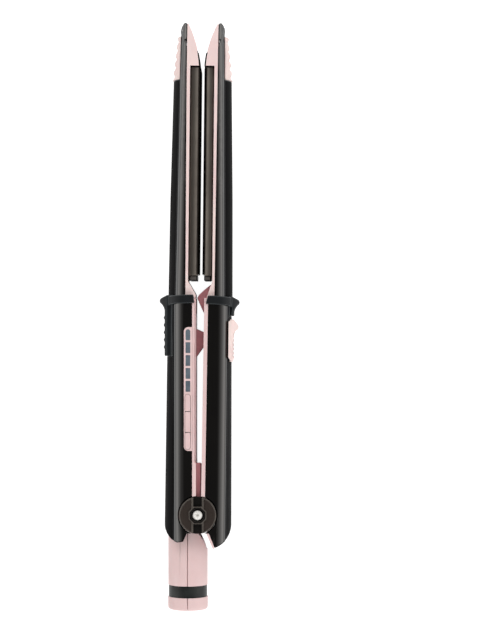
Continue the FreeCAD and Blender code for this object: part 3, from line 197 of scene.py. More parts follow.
# Polished injection-moulded ABS in piano black: a deep black that mirrors what stands beside it,
# with a faint waviness of the moulded skin
PIANO_BLACK = Finish("piano_black_abs", "080707", "0b0a09", 0.12, 0.02, grain_mm=2.5,
                     relief_mm=0.003, coat=1.0)
# Spark-eroded ABS in black: the fine matt grain scatters light; the glow along the covers' edges is
# a painted highlight
SATIN_BLACK = Finish("satin_black_abs", "0b0b0c", "0e0e0f", 0.55, 0.06, grain_mm=0.35,
                     relief_mm=0.012, specular=0.02)
# The same plastic along the covers' outer edges, made lighter as a painted highlight for the glow
# of light grazing them
SATIN_EDGE = Finish("black_abs_edge_painted_highlight", "2d2d30", "343438", 0.4, grain_mm=0.35,
                    relief_mm=0.008, drift_mm=8.0, specular=0.3)
# The black band round the tail: its black is lifted to a dark grey as a painted reflection, so it
# mirrors only weakly
BAND_BLACK = Finish("black_abs_painted_reflection", "1b1d1d", "292c2b", 0.38, 0.08, grain_mm=0.5,
                    relief_mm=0.006, drift_mm=6.0, specular=0.22)
# Soft-touch rubber: bluish black, dull, with a skin-like grain
SOFT_RUBBER = Finish("soft_touch_rubber", "141719", "1a1d20", 0.55, 0.06, grain_mm=0.3,
                     relief_mm=0.015, specular=0.22)
# The same rubber along its moulded edges, made lighter as a painted highlight
RUBBER_EDGE = Finish("rubber_edge_painted_highlight", "1f2427", "272c2f", 0.4, grain_mm=0.3,
                     relief_mm=0.006, drift_mm=5.0, specular=0.35)
# Moulded ABS in pale rose: light goes a little way in, and the skin is satin
ROSE_ABS = Finish("rose_abs", "dfc6c6", "d9bebe", 0.4, grain_mm=0.3, relief_mm=0.004,
                  specular=0.25, subsurface=0.12)
# Heat-proof nylon of the tips: the same rose, a little paler and warmer
ROSE_TIP = Finish("rose_heatproof_nylon", "ead6d3", "e2caca", 0.42, grain_mm=0.3,
                  relief_mm=0.005, specular=0.4, subsurface=0.12)
# Nylon of the tip grips and the slider: the palest rose, with a fine and even grain
ROSE_GRIP = Finish("rose_grip_nylon", "f1dfdb", "e9d2d0", 0.45, grain_mm=0.25,
                   relief_mm=0.008, specular=0.35, subsurface=0.12)
# Glass-filled nylon of the parts deep between the arms: the tool's rose darkened to mauve as
# painted shade; matt, slightly mottled by its fibres
ROSE_NYLON_PAINTED_SHADE = Finish("rose_nylon_painted_shade", "b47d82", "a87076", 0.5, 0.06, grain_mm=0.5,
                     drift_mm=9.0, specular=0.35)
# Titanium-toned coating on aluminium: ground along the plate, so highlights stretch across it
COATED_PLATE = Finish("ceramic_coated_aluminium", "4a4642", "3d3936", 0.3, 0.06, grain_mm=0.25,
                      grain=Grain.ALONG, relief_mm=0.004, metallic=1.0)
# Extruded aluminium, anodised dark bronze: fine drawn lines along the bar
BRONZE_ANODISED = Finish("bronze_anodised_aluminium", "7e7871", "6f6963", 0.38, 0.06,
                         grain_mm=0.3, grain=Grain.ALONG, relief_mm=0.006, metallic=0.85)
# Graphite-filled PPS of the plates' end caps: matt grey
GRAPHITE = Finish("graphite_filled_pps", "5b5855", "4e4b48", 0.5, 0.06, grain_mm=0.3,
                  relief_mm=0.008, drift_mm=4.0, specular=0.3)
# Silicone lining of the tips: black and dull. The same black is painted on the tip's inner corner
# and along the edge of its floor as painted shade
SILICONE_AND_PAINTED_SHADE = Finish("silicone_lining_and_painted_shade", "0c0c0d", "101011", 0.6, grain_mm=0.25, relief_mm=0.006,
                  specular=0.1)
# Brown-black polycarbonate of the hinge caps: satin
CAP_BROWN = Finish("brown_black_polycarbonate", "2f2926", "38312d", 0.3, relief_mm=0.005,
                   specular=0.4)
# The same on its edges, made lighter as a painted highlight where the moulding catches the light
CAP_EDGE = Finish("polycarbonate_edge_painted_highlight", "55504b", "4a4541", 0.25, grain_mm=0.3,
                  relief_mm=0.003, drift_mm=4.0)
# The same down in its hollows and on the boss's middle, nearly black as painted shade, and dull
CAP_HOLLOW = Finish("polycarbonate_painted_shade", "0f0e0d", "131110", 0.6, grain_mm=0.3,
                    relief_mm=0.005, drift_mm=4.0, specular=0.15)
# Nickel-plated steel: bright and smooth
NICKEL = Finish("nickel_plated_steel", "c9c7c3", "b9b7b3", 0.16, 0.04, grain_mm=0.3,
                relief_mm=0.003, metallic=1.0)
# Zinc-plated screw: silvery and softer than a polished one, lifted to near white with little metal
# sheen as a painted highlight for the gleam of its dome
ZINC = Finish("zinc_plate_painted_highlight", "f8f7f4", "eeede9", 0.42, grain_mm=0.3, relief_mm=0.004,
              metallic=0.25)
# Plain spring steel: darker, drawn along its length
SPRING_STEEL = Finish("spring_steel", "77777a", "66666a", 0.32, 0.06, grain_mm=0.3,
                      grain=Grain.ALONG, relief_mm=0.004, metallic=1.0)
# Smoked acrylic light bars: polished slate-grey windows
SMOKED_ACRYLIC = Finish("smoked_acrylic", "57616b", "67727c", 0.12, 0.03, grain_mm=0.8,
                        relief_mm=0.002, drift_mm=4.0, coat=0.4)
# Fired alumina: chalky white
ALUMINA = Finish("fired_alumina", "e6e0d6", "d9d2c6", 0.7, grain_mm=0.2, specular=0.3)
# Polyimide film: amber and shiny
AMBER_FILM = Finish("polyimide_film", "b8741f", "a5651a", 0.18, 0.04, grain_mm=1.5,
                    relief_mm=0.006, coat=0.3)
# Glass-epoxy circuit board under green solder mask, with its weave just showing
SOLDER_MASK = Finish("green_solder_mask", "1c5a34", "174d2c", 0.3, grain_mm=0.6,
                     relief_mm=0.008)
# Pale epoxy of the small lamps
LAMP_EPOXY = Finish("lamp_epoxy", "dfe3e6", "f1f3f4", 0.2, 0.04, grain_mm=0.5, relief_mm=0.002)


# Modelling helpers


def only(piece: bpy.types.Object) -> None:
    """Makes one piece the only selected and the active object.

    Args:
        piece: The piece.
    """
    bpy.ops.object.select_all(action="DESELECT")
    piece.select_set(True)
    bpy.context.view_layer.objects.active = piece


def smooth(piece: bpy.types.Object, degrees: float = 40.0) -> None:
    """Shades a piece smooth and keeps its flats flat.

    Args:
        piece: The piece.
        degrees: Edges sharper than this stay sharp.
    """
    only(piece)
    bpy.ops.object.shade_smooth_by_angle(angle=math.radians(degrees))
    weighted = piece.modifiers.new("flats", "WEIGHTED_NORMAL")
    weighted.keep_sharp = True
    bpy.ops.object.modifier_apply(modifier=weighted.name)


def bevel(piece: bpy.types.Object, width_mm: float, segments: int = ROUND_STEPS,
          degrees: float = 32.0, slot: int = -1) -> None:
    """Rounds the sharp edges of a piece.

    Args:
        piece: The piece.
        width_mm: Width of the rounding.
        segments: Steps in the rounding.
        degrees: Edges flatter than this stay as they are.
        slot: The material slot of the rounding, or -1 for that of the faces beside it.
    """
    only(piece)
    rounding = piece.modifiers.new("rounding", "BEVEL")
    rounding.width = width_mm * MM
    rounding.segments = segments
    rounding.limit_method = "ANGLE"
    rounding.angle_limit = math.radians(degrees)
    rounding.use_clamp_overlap = False
    rounding.material = slot
    bpy.ops.object.modifier_apply(modifier=rounding.name)


def tidy_copy(node: str, name: str, flat_degrees: float = 0.5) -> bpy.types.Object:
    """Copies a CAD node's mesh with its loose triangles merged to whole faces.

    Args:
        node: The CAD node.
        name: Name of the copy.
        flat_degrees: Triangles that turn less than this from each other become one face.

    Returns:
        The copy, in the same place.
    """
    piece = bpy.data.objects.new(name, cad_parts[node].data.copy())
    piece.data.materials.clear()
    bpy.context.scene.collection.objects.link(piece)
    only(piece)
    bpy.ops.object.mode_set(mode="EDIT")
    bpy.ops.mesh.select_all(action="SELECT")
    bpy.ops.mesh.remove_doubles(threshold=WELD)
    bpy.ops.mesh.dissolve_limited(angle_limit=math.radians(flat_degrees))
    bpy.ops.mesh.dissolve_degenerate(threshold=SLIVER)
    bpy.ops.object.mode_set(mode="OBJECT")
    return piece


def paint(piece: bpy.types.Object, *finishes: Finish) -> None:
    """Gives a piece its finishes in place of the ones it has.

    Args:
        piece: The piece.
        *finishes: One finish for each of its material slots.
    """
    piece.data.materials.clear()
    for finish in finishes:
        piece.data.materials.append(finish.material())


def repaint(node: str, finish: Finish) -> None:
    """Gives a CAD node a better material and leaves its shape alone.

    Args:
        node: The CAD node.
        finish: Its finish.
    """
    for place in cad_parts[node].material_slots:
        place.material = finish.material()
    LOG.info("%s: %s", node, finish.name)


def keep_in_box(piece: bpy.types.Object, node: str) -> None:
    """Moves vertices that a rounding pushed out of a CAD node's box back onto the box.

    Args:
        piece: The rounded copy.
        node: The CAD node that it was copied from.
    """
    low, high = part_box(node)
    for vertex in piece.data.vertices:
        for axis in range(3):
            vertex.co[axis] = min(max(vertex.co[axis], low[axis]), high[axis])


def report(piece: bpy.types.Object) -> None:
    """Logs a finished piece."""
    LOG.info("%s: %d faces", piece.name, len(piece.data.polygons))


def eased(node: str, body: str, finish: Finish, width_mm: float, segments: int = ROUND_STEPS,
          edge: Finish | None = None, flat_degrees: float = 0.5,
          reshape: Callable[[bpy.types.Object], None] | None = None) -> bpy.types.Object:
    """Stands a copy with rounded edges in the place of a CAD node.

    Args:
        node: The CAD node.
        body: The body that it rides on.
        finish: Its finish.
        width_mm: Width of the rounding along its edges.
        segments: Steps in the rounding.
        edge: The finish of the roundings, where they differ.
        flat_degrees: Triangles that turn less than this from each other become one face.
        reshape: What else is done to its shape, before its edges are rounded.

    Returns:
        The new piece.
    """
    piece = tidy_copy(node, node + "_rounded", flat_degrees)
    if reshape:
        reshape(piece)
    paint(piece, finish, *([edge] if edge else []))
    bevel(piece, width_mm, segments, slot=1 if edge else -1)
    if not reshape:
        keep_in_box(piece, node)
    smooth(piece)
    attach(piece, body)
    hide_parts(node)
    report(piece)
    return piece


def pick_faces(piece: bpy.types.Object, wanted: Callable[[bpy.types.MeshPolygon], bool]) -> None:
    """Leaves a piece in edit mode with only some faces selected.

    Args:
        piece: The piece.
        wanted: Says of a face whether it is selected.
    """
    only(piece)
    bpy.ops.object.mode_set(mode="EDIT")
    bpy.ops.mesh.select_mode(type="FACE")
    bpy.ops.mesh.select_all(action="DESELECT")
    bpy.ops.object.mode_set(mode="OBJECT")
    for face in piece.data.polygons:
        face.select = wanted(face)
    bpy.ops.object.mode_set(mode="EDIT")


def shift_vertices(piece: bpy.types.Object, wanted: Callable[[bpy.types.MeshVertex], bool],
                   move: tuple[float, float, float]) -> None:
    """Moves some vertices of a piece that is in edit mode, and leaves it in edit mode.

    Args:
        piece: The piece.
        wanted: Says of a vertex whether it is moved.
        move: How far, in metres.
    """
    bpy.ops.mesh.select_all(action="DESELECT")
    bpy.ops.object.mode_set(mode="OBJECT")
    for vertex in piece.data.vertices:
        vertex.select = wanted(vertex)
    bpy.ops.object.mode_set(mode="EDIT")
    bpy.ops.transform.translate(value=move)


def settle(piece: bpy.types.Object) -> None:
    """Applies a finished piece's place and turn, so that it stands at the origin."""
    only(piece)
    bpy.ops.object.transform_apply(location=True, rotation=True, scale=True)


# Sub-assemblies


class Side(Enum):
    """One of the two arms: its word, and the way along X from it to the gap between them."""

    LEFT = ("left", 1.0)
    RIGHT = ("right", -1.0)

    def named(self, part: str) -> str:
        """The name of this side's node or body of a kind."""
        return f"{self.value[0]}_{part}"

    @property
    def inward(self) -> float:
        """The way along X from this arm to the gap."""
        return self.value[1]


@dataclass
class TipLining:
    """The black silicone on the inner corner of a tip, which spares the other tip when they meet.

    The three facings are the least part of a face's normal: towards the gap where the lining is
    peeled off it, towards the gap where the corner is painted in shade, and down the arm where the
    edge of the tip's floor is painted in shade.
    """

    side: Side
    length: float = 6.5 * MM
    thick: float = 0.4 * MM
    floor_rise: float = 0.7 * MM
    edge_mm: float = 0.08
    lined_facing: float = 0.8
    corner_shade_facing: float = 0.2
    floor_facing: float = 0.3

    def reach(self) -> tuple[float, float]:
        """The lower and the upper end of the lining, along Y."""
        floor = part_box(self.side.named("plate"))[1][1] + self.floor_rise
        return floor, floor + self.length

    def shade_corner(self, tip: bpy.types.Object) -> None:
        """Paints the inner corner of a tip and the edge of its floor with the lining's black:
        painted shade that widens the dark line along the corner and darkens the recess at the
        floor.

        Args:
            tip: The barrel frame that ends in the tip.
        """
        floor, top = self.reach()
        tip.data.materials.append(SILICONE_AND_PAINTED_SHADE.material())
        for face in tip.data.polygons:
            facing = face.normal.x * self.side.inward
            corner = floor < face.center.y < top and facing > self.corner_shade_facing
            near_floor = abs(face.center.y - floor) < self.floor_rise
            if corner or (near_floor and face.normal.y < -self.floor_facing):
                face.material_index = 1

    def build(self) -> None:
        """Peels the lining off the inner corner of the tip and thickens it."""
        piece = tidy_copy(self.side.named("barrel_frame"), self.side.named("tip_lining"))
        floor, top = self.reach()
        bpy.ops.object.mode_set(mode="EDIT")
        for height, lower in ((floor, True), (top, False)):
            bpy.ops.mesh.select_all(action="SELECT")
            bpy.ops.mesh.bisect(plane_co=(0, height, 0), plane_no=(0, 1, 0), clear_inner=lower,
                                clear_outer=not lower)
        bpy.ops.object.mode_set(mode="OBJECT")

        pick_faces(piece, lambda face: face.normal.x * self.side.inward <= self.lined_facing)
        bpy.ops.mesh.delete(type="FACE")
        bpy.ops.object.mode_set(mode="OBJECT")
        skin = piece.modifiers.new("skin", "SOLIDIFY")
        skin.thickness = self.thick
        skin.offset = 1.0
        bpy.ops.object.modifier_apply(modifier=skin.name)
        bevel(piece, self.edge_mm, NARROW_STEPS)
        smooth(piece)
        paint(piece, SILICONE_AND_PAINTED_SHADE)
        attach(piece, self.side.named("arm"))
        report(piece)


@dataclass
class HingeScrew:
    """Domed screw with a hexagon socket, in the middle of the hinge cap."""

    radius: float = 2.45 * MM
    wall: float = 0.45 * MM
    dome: float = 0.95 * MM
    sunk: float = 1.2 * MM
    facets: int = 64
    rings: int = 6
    dome_degrees: float = 80.0
    shank_radius: float = 1.2 * MM
    socket_radius: float = 0.8 * MM
    socket_depth: float = 0.8 * MM
    edge_mm: float = 0.06
    edge_degrees: float = 40.0
    level_facing: float = 0.9

    def build(self) -> None:
        """Models the head, the shank and the socket, in the place of the plain screw."""
        low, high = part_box("hinge_screw")
        foot = high[2] - self.sunk
        bpy.ops.object.select_all(action="DESELECT")
        bpy.ops.mesh.primitive_cylinder_add(vertices=self.facets, radius=self.radius,
                                            depth=self.wall,
                                            location=(0, 0, foot + self.wall / 2))
        screw = bpy.context.object
        screw.name = "hinge_screw_domed"
        settle(screw)
        self.raise_dome(screw)
        pick_faces(screw, lambda face: face.normal.z < -self.level_facing)
        bpy.ops.mesh.inset(thickness=self.radius - self.shank_radius, depth=0)
        bpy.ops.mesh.extrude_region_move(
            TRANSFORM_OT_translate={"value": (0, 0, low[2] - foot)})
        bpy.ops.object.mode_set(mode="OBJECT")
        self.cut_socket(screw, foot + self.wall + self.dome)
        bevel(screw, self.edge_mm, NARROW_STEPS, self.edge_degrees)
        smooth(screw)
        # The screw's near-white is a painted highlight
        paint(screw, ZINC)
        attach(screw, "left_arm")
        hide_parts("hinge_screw")
        report(screw)

    def raise_dome(self, screw: bpy.types.Object) -> None:
        """Insets the top again and again and lifts each ring, along a quarter of an ellipse.

        Args:
            screw: The screw, whose head is still a plain disc.
        """
        pick_faces(screw, lambda face: face.normal.z > self.level_facing)
        reach, height = self.radius, 0.0
        for ring in range(1, self.rings + 1):
            angle = math.radians(self.dome_degrees) * ring / self.rings
            next_reach, next_height = self.radius * math.cos(angle), self.dome * math.sin(angle)
            bpy.ops.mesh.inset(thickness=reach - next_reach, depth=0)
            bpy.ops.transform.translate(value=(0, 0, next_height - height))
            reach, height = next_reach, next_height
        bpy.ops.object.mode_set(mode="OBJECT")

    def cut_socket(self, screw: bpy.types.Object, top: float) -> None:
        """Sinks the hexagon socket into the top of the dome.

        Args:
            screw: The screw.
            top: The dome's top, along Z.
        """
        bpy.ops.mesh.primitive_cylinder_add(vertices=6, radius=self.socket_radius,
                                            depth=2 * self.socket_depth, location=(0, 0, top))
        key = bpy.context.object
        only(screw)
        socket = screw.modifiers.new("socket", "BOOLEAN")
        socket.operation = "DIFFERENCE"
        socket.solver = "EXACT"
        socket.object = key
        bpy.ops.object.modifier_apply(modifier=socket.name)
        bpy.data.objects.remove(key, do_unlink=True)


@dataclass
class ArmShells:
    """The outer mouldings of one arm, from the tip to the heel.

    The last three are parts of a face's normal. A cover's rounding keeps its painted highlight
    where it looks further aside than outer_tilt. A shell's face belongs to its seam, which is
    painted in shade, where it looks further aside than seam_tilt, and up or down by more than
    seam_rise.
    """

    side: Side
    shell_edge_mm: float = 0.45
    spine_edge_mm: float = 0.5
    rubber_edge_mm: float = 0.45
    rose_edge_mm: float = 0.3
    narrow_edge_mm: float = 0.2
    outer_tilt: float = 0.6
    seam_tilt: float = 0.775
    seam_rise: float = 0.2

    def build(self) -> None:
        """Dresses every moulding of the arm."""
        for part in ("barrel_shell", "handle_shell"):
            # The shell's seam strip beside the tip grip is painted in shade with the unreflecting
            # black
            self.shade_seam(self.dress(part, PIANO_BLACK, self.shell_edge_mm, edge=SATIN_BLACK))
        for part in ("barrel_spine", "handle_spine"):
            # The covers' roundings get a painted highlight, which is kept to their outer edges
            spine = self.dress(part, SATIN_BLACK, self.spine_edge_mm, edge=SATIN_EDGE)
            self.keep_highlight_to_outer_edges(spine)
        # The collar's roundings get a painted highlight
        self.dress("collar", SOFT_RUBBER, self.rubber_edge_mm, edge=RUBBER_EDGE)
        self.dress("tip_grip", ROSE_GRIP, self.narrow_edge_mm, NARROW_STEPS)
        lining = TipLining(self.side)
        # The tip's inner corner and the edge of its floor get painted shade
        lining.shade_corner(self.dress("barrel_frame", ROSE_TIP, self.rose_edge_mm))
        self.dress("handle_liner", ROSE_ABS, self.narrow_edge_mm, NARROW_STEPS)
        lining.build()
        repaint(self.side.named("handle_screws"), SPRING_STEEL)
        repaint(self.side.named("plate_springs"), SPRING_STEEL)

    def dress(self, part: str, finish: Finish, width_mm: float, segments: int = ROUND_STEPS,
              edge: Finish | None = None) -> bpy.types.Object:
        """Stands a rounded copy in the place of one of this arm's nodes."""
        return eased(self.side.named(part), self.side.named("arm"), finish, width_mm, segments,
                     edge)

    def keep_highlight_to_outer_edges(self, spine: bpy.types.Object) -> None:
        """Keeps the painted highlight of a cover to its outer edges.

        Args:
            spine: The cover.
        """
        for face in spine.data.polygons:
            if abs(face.normal.x) < self.outer_tilt:
                face.material_index = 0

    def shade_seam(self, shell: bpy.types.Object) -> None:
        """Paints the steep strip of a shell beside the tip grip with the spine cover's unreflecting
        black, as painted shade in the seam.

        Args:
            shell: The shell.
        """
        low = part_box(self.side.named("tip_grip"))[0][1]
        for face in shell.data.polygons:
            seam = abs(face.normal.x) > self.seam_tilt and abs(face.normal.z) > self.seam_rise
            if seam and face.center.y > low:
                face.material_index = 1


@dataclass
class PlateUnit:
    """A floating plate with its carrier and heater.

    Each of the crown_rows is a distance from the carrier's gap side and how far the bar sinks
    there, both in millimetres.
    """

    side: Side
    plate_edge_mm: float = 0.15
    carrier_edge_mm: float = 0.25
    cap_edge_mm: float = 0.45
    crown_rows: tuple[tuple[float, float], ...] = (
        (3.0, 0.0), (2.4, 0.08), (1.7, 0.28), (0.85, 0.66), (0.0, 1.12))
    near: float = 0.02 * MM

    def build(self) -> None:
        """Dresses the plate, the carrier and what is inside."""
        body = self.side.named("plate_unit")
        eased(self.side.named("plate"), body, COATED_PLATE, self.plate_edge_mm, NARROW_STEPS)
        eased(self.side.named("plate_carrier"), body, BRONZE_ANODISED, self.carrier_edge_mm,
              NARROW_STEPS, reshape=self.crown)
        # The end cap's roundings take the black ABS finish as painted shade, the dark outline of
        # its chamfers
        eased(self.side.named("plate_end_cap"), body, GRAPHITE, self.cap_edge_mm, edge=SATIN_BLACK)
        repaint(self.side.named("heater"), ALUMINA)
        repaint(self.side.named("heater_film"), AMBER_FILM)
        repaint(self.side.named("thermal_fuse"), NICKEL)

    def crown(self, bar: bpy.types.Object) -> None:
        """Lowers both narrow sides of the carrier towards the gap, row by row, to a crown.

        Args:
            bar: The carrier.
        """
        across = Vector((math.cos(BARREL_LEAN), -math.sin(BARREL_LEAN), 0.0)) * self.side.inward
        gap_side = max(across.dot(vertex.co) for vertex in bar.data.vertices)
        heights = [vertex.co.z for vertex in bar.data.vertices]
        low, high = min(heights), max(heights)
        only(bar)
        bpy.ops.object.mode_set(mode="EDIT")
        bpy.ops.mesh.select_mode(type="VERT")
        for distance, _ in self.crown_rows[:-1]:
            bpy.ops.mesh.select_all(action="SELECT")
            bpy.ops.mesh.bisect(plane_co=across * (gap_side - distance * MM), plane_no=across)
        for distance, drop in self.crown_rows:
            row = gap_side - distance * MM
            for level, way in ((high, -1.0), (low, 1.0)):
                shift_vertices(
                    bar, lambda vertex: abs(across.dot(vertex.co) - row) < self.near
                    and abs(vertex.co.z - level) < self.near, (0, 0, way * drop * MM))
        bpy.ops.object.mode_set(mode="OBJECT")


@dataclass
class DisplayPanel:
    """The bezel with its light bars and keys, and the board under it."""

    bezel_edge_mm: float = 0.12
    bar_edge_mm: float = 0.2
    key_edge_mm: float = 0.2

    def build(self) -> None:
        """Dresses the panel."""
        eased("display_bezel", "left_arm", ROSE_ABS, self.bezel_edge_mm, NARROW_STEPS)
        eased("display_light_bars", "left_arm", SMOKED_ACRYLIC, self.bar_edge_mm, NARROW_STEPS)
        for key in ("power", "heat_up", "heat_down"):
            eased(f"{key}_key", f"{key}_button", ROSE_ABS, self.key_edge_mm)
        repaint("display_board", SOLDER_MASK)
        repaint("indicator_lamps", LAMP_EPOXY)
        repaint("tact_switches", SATIN_BLACK)


@dataclass
class Hinge:
    """Knuckle, fork, pin and the caps over them.

    The cap's upward faces are told apart by their depth under its top and their distance from the
    pin: the boss's middle lies level with the top, the rims near it, and the hollows deep under it.
    """

    knuckle_edge_mm: float = 0.25
    fork_edge_mm: float = 0.3
    cap_edge_mm: float = 0.1
    back_cap_edge_mm: float = 0.5
    boss_rim: float = 0.35 * MM
    boss_reach: float = 4.0 * MM
    level_depth: float = 0.1 * MM
    rim_depth: float = 0.5 * MM
    hollow_depth: float = 1.0 * MM
    upward: float = 0.9
    web_slope: float = 2.2 * MM
    web_end: float = 0.05 * MM

    def build(self) -> None:
        """Dresses the hinge."""
        # The knuckle's mauve is painted shade on the rose plastic
        eased("hinge_knuckle", "left_arm", ROSE_NYLON_PAINTED_SHADE, self.knuckle_edge_mm, NARROW_STEPS,
              reshape=self.slope_web)
        eased("hinge_fork", "right_arm", SATIN_BLACK, self.fork_edge_mm, NARROW_STEPS)
        # The cap's roundings and rims get a painted highlight, and its hollows painted shade
        self.tone_cap(eased("hinge_cap", "left_arm", CAP_BROWN, self.cap_edge_mm, NARROW_STEPS,
                            CAP_EDGE, reshape=self.rim_boss))
        eased("hinge_back_cap", "left_arm", CAP_BROWN, self.back_cap_edge_mm)
        HingeScrew().build()
        repaint("hinge_pin", NICKEL)
        repaint("hinge_washers", NICKEL)
        repaint("opening_spring", SPRING_STEEL)

    def slope_web(self, knuckle: bpy.types.Object) -> None:
        """Sets the foot of the web's end back, so that the end leans.

        Args:
            knuckle: The knuckle with the web.
        """
        end = max(vertex.co.y for vertex in knuckle.data.vertices)
        middle = sum(corner[2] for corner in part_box("hinge_knuckle")) / 2
        only(knuckle)
        bpy.ops.object.mode_set(mode="EDIT")
        bpy.ops.mesh.select_mode(type="VERT")
        shift_vertices(
            knuckle, lambda vertex: vertex.co.y > end - self.web_end and vertex.co.z < middle,
            (0, -self.web_slope, 0))
        bpy.ops.object.mode_set(mode="OBJECT")

    def rim_boss(self, cap: bpy.types.Object) -> None:
        """Insets the top of the eight-sided boss, so that its rim is a face of its own.

        Args:
            cap: The hinge cap.
        """
        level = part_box("hinge_cap")[1][2] - self.level_depth
        pick_faces(cap, lambda face: face.normal.z > self.upward and face.center.z > level)
        bpy.ops.mesh.inset(thickness=self.boss_rim, depth=0)
        bpy.ops.object.mode_set(mode="OBJECT")

    def tone_cap(self, cap: bpy.types.Object) -> None:
        """Gives the cap's raised rims a painted highlight, and its hollows and the boss's middle
        painted shade.

        Args:
            cap: The hinge cap.
        """
        cap.data.materials.append(CAP_HOLLOW.material())
        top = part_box("hinge_cap")[1][2]
        for face in cap.data.polygons:
            if face.normal.z < self.upward:
                continue
            depth = top - face.center.z
            aside = math.hypot(face.center.x, face.center.y)
            boss_middle = depth < self.level_depth and aside < self.boss_reach
            if depth > self.hollow_depth or boss_middle:
                face.material_index = 2
            elif depth < self.rim_depth:
                face.material_index = 1


@dataclass
class Tail:
    """The two halves of the tail, the band round them and the cord's swivel."""

    half_edge_mm: float = 0.12
    half_flat_degrees: float = 0.05
    band_edge_mm: float = 0.15
    swivel_edge_mm: float = 0.3

    def build(self) -> None:
        """Dresses the tail."""
        for half in ("tail_left_half", "tail_right_half"):
            eased(half, "left_arm", ROSE_ABS, self.half_edge_mm, NARROW_STEPS,
                  flat_degrees=self.half_flat_degrees)
        # The band's dark grey is a painted reflection
        eased("tail_band", "left_arm", BAND_BLACK, self.band_edge_mm, NARROW_STEPS)
        repaint("tail_screws", SPRING_STEEL)
        eased("cord_swivel", "swivel", SATIN_BLACK, self.swivel_edge_mm)


@dataclass
class Lock:
    """The slider on the right arm, its hook, the catch and the guide wedge."""

    slider_edge_mm: float = 0.35
    catch_edge_mm: float = 0.3
    wedge_edge_mm: float = 0.3

    def build(self) -> None:
        """Dresses the lock."""
        eased("lock_slider", "lock", ROSE_GRIP, self.slider_edge_mm)
        repaint("lock_hook", SPRING_STEEL)
        repaint("lock_retainer", SATIN_BLACK)
        # The catch's and the wedge's mauve is painted shade on the rose plastic
        eased("lock_catch", "left_arm", ROSE_NYLON_PAINTED_SHADE, self.catch_edge_mm)
        eased("guide_wedge", "right_arm", ROSE_NYLON_PAINTED_SHADE, self.wedge_edge_mm)


@dataclass
class HeelStrip:
    """The piece of the right arm's liner that lies below the hinge."""

    edge_mm: float = 0.2

    def build(self) -> None:
        """Dresses the strip."""
        eased("right_heel_strip", "right_arm", ROSE_ABS, self.edge_mm, NARROW_STEPS)


# Studio


@dataclass(frozen=True)
class Softbox:
    """A rectangular lamp that hangs over the table and faces the tool, in metres and watts."""

    name: str
    place: tuple[float, float, float]
    size: tuple[float, float]
    watts: float

    def hang(self, aim: tuple[float, float, float]) -> None:
        """Hangs the lamp.

        Args:
            aim: The point that it faces.
        """
        bpy.ops.object.light_add(type="AREA", location=self.place)
        lamp = bpy.context.object
        lamp.name = self.name
        lamp.data.shape = "RECTANGLE"
        lamp.data.size, lamp.data.size_y = self.size
        lamp.data.energy = self.watts
        lamp.visible_glossy = False
        towards = Vector(aim) - Vector(self.place)
        lamp.rotation_euler = towards.to_track_quat("-Z", "Y").to_euler()


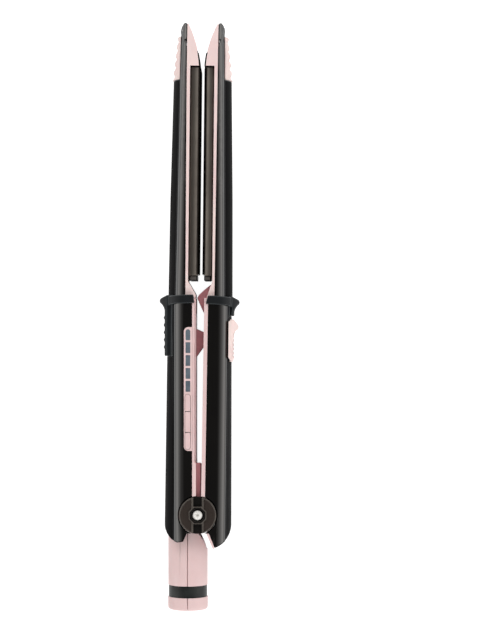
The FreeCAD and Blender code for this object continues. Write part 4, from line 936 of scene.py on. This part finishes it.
@dataclass
class Studio:
    """A white table seen straight from above, under soft lamps at its sides.

    The world's light rises from the horizon and falls again overhead, each over a span of the
    direction's height and between two levels.
    """

    distance: float = 1.0
    pixel: float = 0.0005012
    hinge_pixel: tuple[float, float] = (198.3, 512.44)
    level: float = 0.0159
    sensor_mm: float = 36.0
    table_size: float = 12.0
    table_glow: float = 0.97
    table_grey: float = 0.35
    aim: tuple[float, float, float] = (0.0, 0.1, 0.0)
    rise_span: tuple[float, float] = (0.0, 0.22)
    rise_levels: tuple[float, float] = (0.4, 1.0)
    fall_span: tuple[float, float] = (0.1, 0.95)
    fall_levels: tuple[float, float] = (2.3, 0.06)
    tint: tuple[float, float, float, float] = (1.0, 0.97, 0.94, 1.0)
    lamps: list[Softbox] = field(default_factory=lambda: [
        Softbox("far_softbox", (0.02, 1.1, 0.8), (1.0, 0.5), 4.9),
        Softbox("near_softbox", (0.3, -0.9, 0.8), (1.0, 0.5), 6.1),
    ])

    def build(self) -> None:
        """Sets up the camera, the table, the lamps and the world."""
        self.camera()
        self.table()
        for lamp in self.lamps:
            lamp.hang(self.aim)
        self.world()
        bpy.context.scene.view_settings.view_transform = "Standard"

    def camera(self) -> None:
        """Places the camera straight over the middle of the photograph, beside the tool."""
        aside = (PHOTO_WIDTH / 2 - self.hinge_pixel[0]) * self.pixel
        ahead = (self.hinge_pixel[1] - PHOTO_HEIGHT / 2) * self.pixel
        bpy.ops.object.camera_add(location=(aside, ahead, self.level + self.distance),
                                  rotation=(0, 0, 0))
        camera = bpy.context.object
        camera.name = "photo_camera"
        camera.data.sensor_width = self.sensor_mm
        camera.data.lens = self.sensor_mm * self.distance / (PHOTO_HEIGHT * self.pixel)
        bpy.context.scene.camera = camera

    def table(self) -> None:
        """Lays the white table top under the tool."""
        bpy.ops.object.select_all(action="DESELECT")
        bpy.ops.mesh.primitive_plane_add(size=self.table_size, location=(0, 0, 0))
        table = bpy.context.object
        table.name = "table_top"
        made = bpy.data.materials.new("white_table_laminate")
        made.use_nodes = True
        tree = made.node_tree
        tree.nodes.clear()
        ray = add_node(tree, "LightPath").outputs
        seen = ray["Is Camera Ray"]
        for other in ("Is Glossy Ray", "Is Transmission Ray"):
            seen = add_node(tree, "Math", {0: seen, 1: ray[other]}, operation="MAXIMUM").outputs[0]
        strength = add_node(tree, "Math", {0: seen, 1: self.table_glow},
                            operation="MULTIPLY").outputs[0]
        grey = self.table_grey
        paper = add_node(tree, "BsdfDiffuse", {"Color": (grey, grey, grey, 1.0)}).outputs[0]
        glow = add_node(tree, "Emission", {
            "Color": (1.0, 1.0, 1.0, 1.0), "Strength": strength}).outputs[0]
        both = add_node(tree, "AddShader", {0: paper, 1: glow}).outputs[0]
        add_node(tree, "OutputMaterial", {"Surface": both})
        table.data.materials.append(made)

    def world(self) -> None:
        """Surrounds the table with a room that is pale at the horizon and dim overhead."""
        world = bpy.data.worlds.new("pale_studio")
        bpy.context.scene.world = world
        world.use_nodes = True
        tree = world.node_tree
        tree.nodes.clear()
        direction = add_node(tree, "TexCoord").outputs["Generated"]
        height = add_node(tree, "SeparateXYZ", {0: direction}).outputs["Z"]
        rise, fall = (
            add_node(tree, "MapRange", {
                "Value": height, "From Min": span[0], "From Max": span[1],
                "To Min": levels[0], "To Max": levels[1]},
                interpolation_type="SMOOTHSTEP").outputs[0]
            for span, levels in ((self.rise_span, self.rise_levels),
                                 (self.fall_span, self.fall_levels)))
        level = add_node(tree, "Math", {0: rise, 1: fall}, operation="MULTIPLY").outputs[0]
        light = add_node(tree, "Background", {"Color": self.tint, "Strength": level}).outputs[0]
        add_node(tree, "OutputWorld", {"Surface": light})


def main() -> None:
    """Builds the studio and every sub-assembly in order."""
    logging.basicConfig(level=logging.INFO, format="%(name)s: %(message)s")
    Studio().build()
    for assembly in (ArmShells(Side.LEFT), ArmShells(Side.RIGHT), PlateUnit(Side.LEFT),
                     PlateUnit(Side.RIGHT), DisplayPanel(), Hinge(), Tail(), Lock(), HeelStrip()):
        assembly.build()


if __name__ == "__main__":
    main()
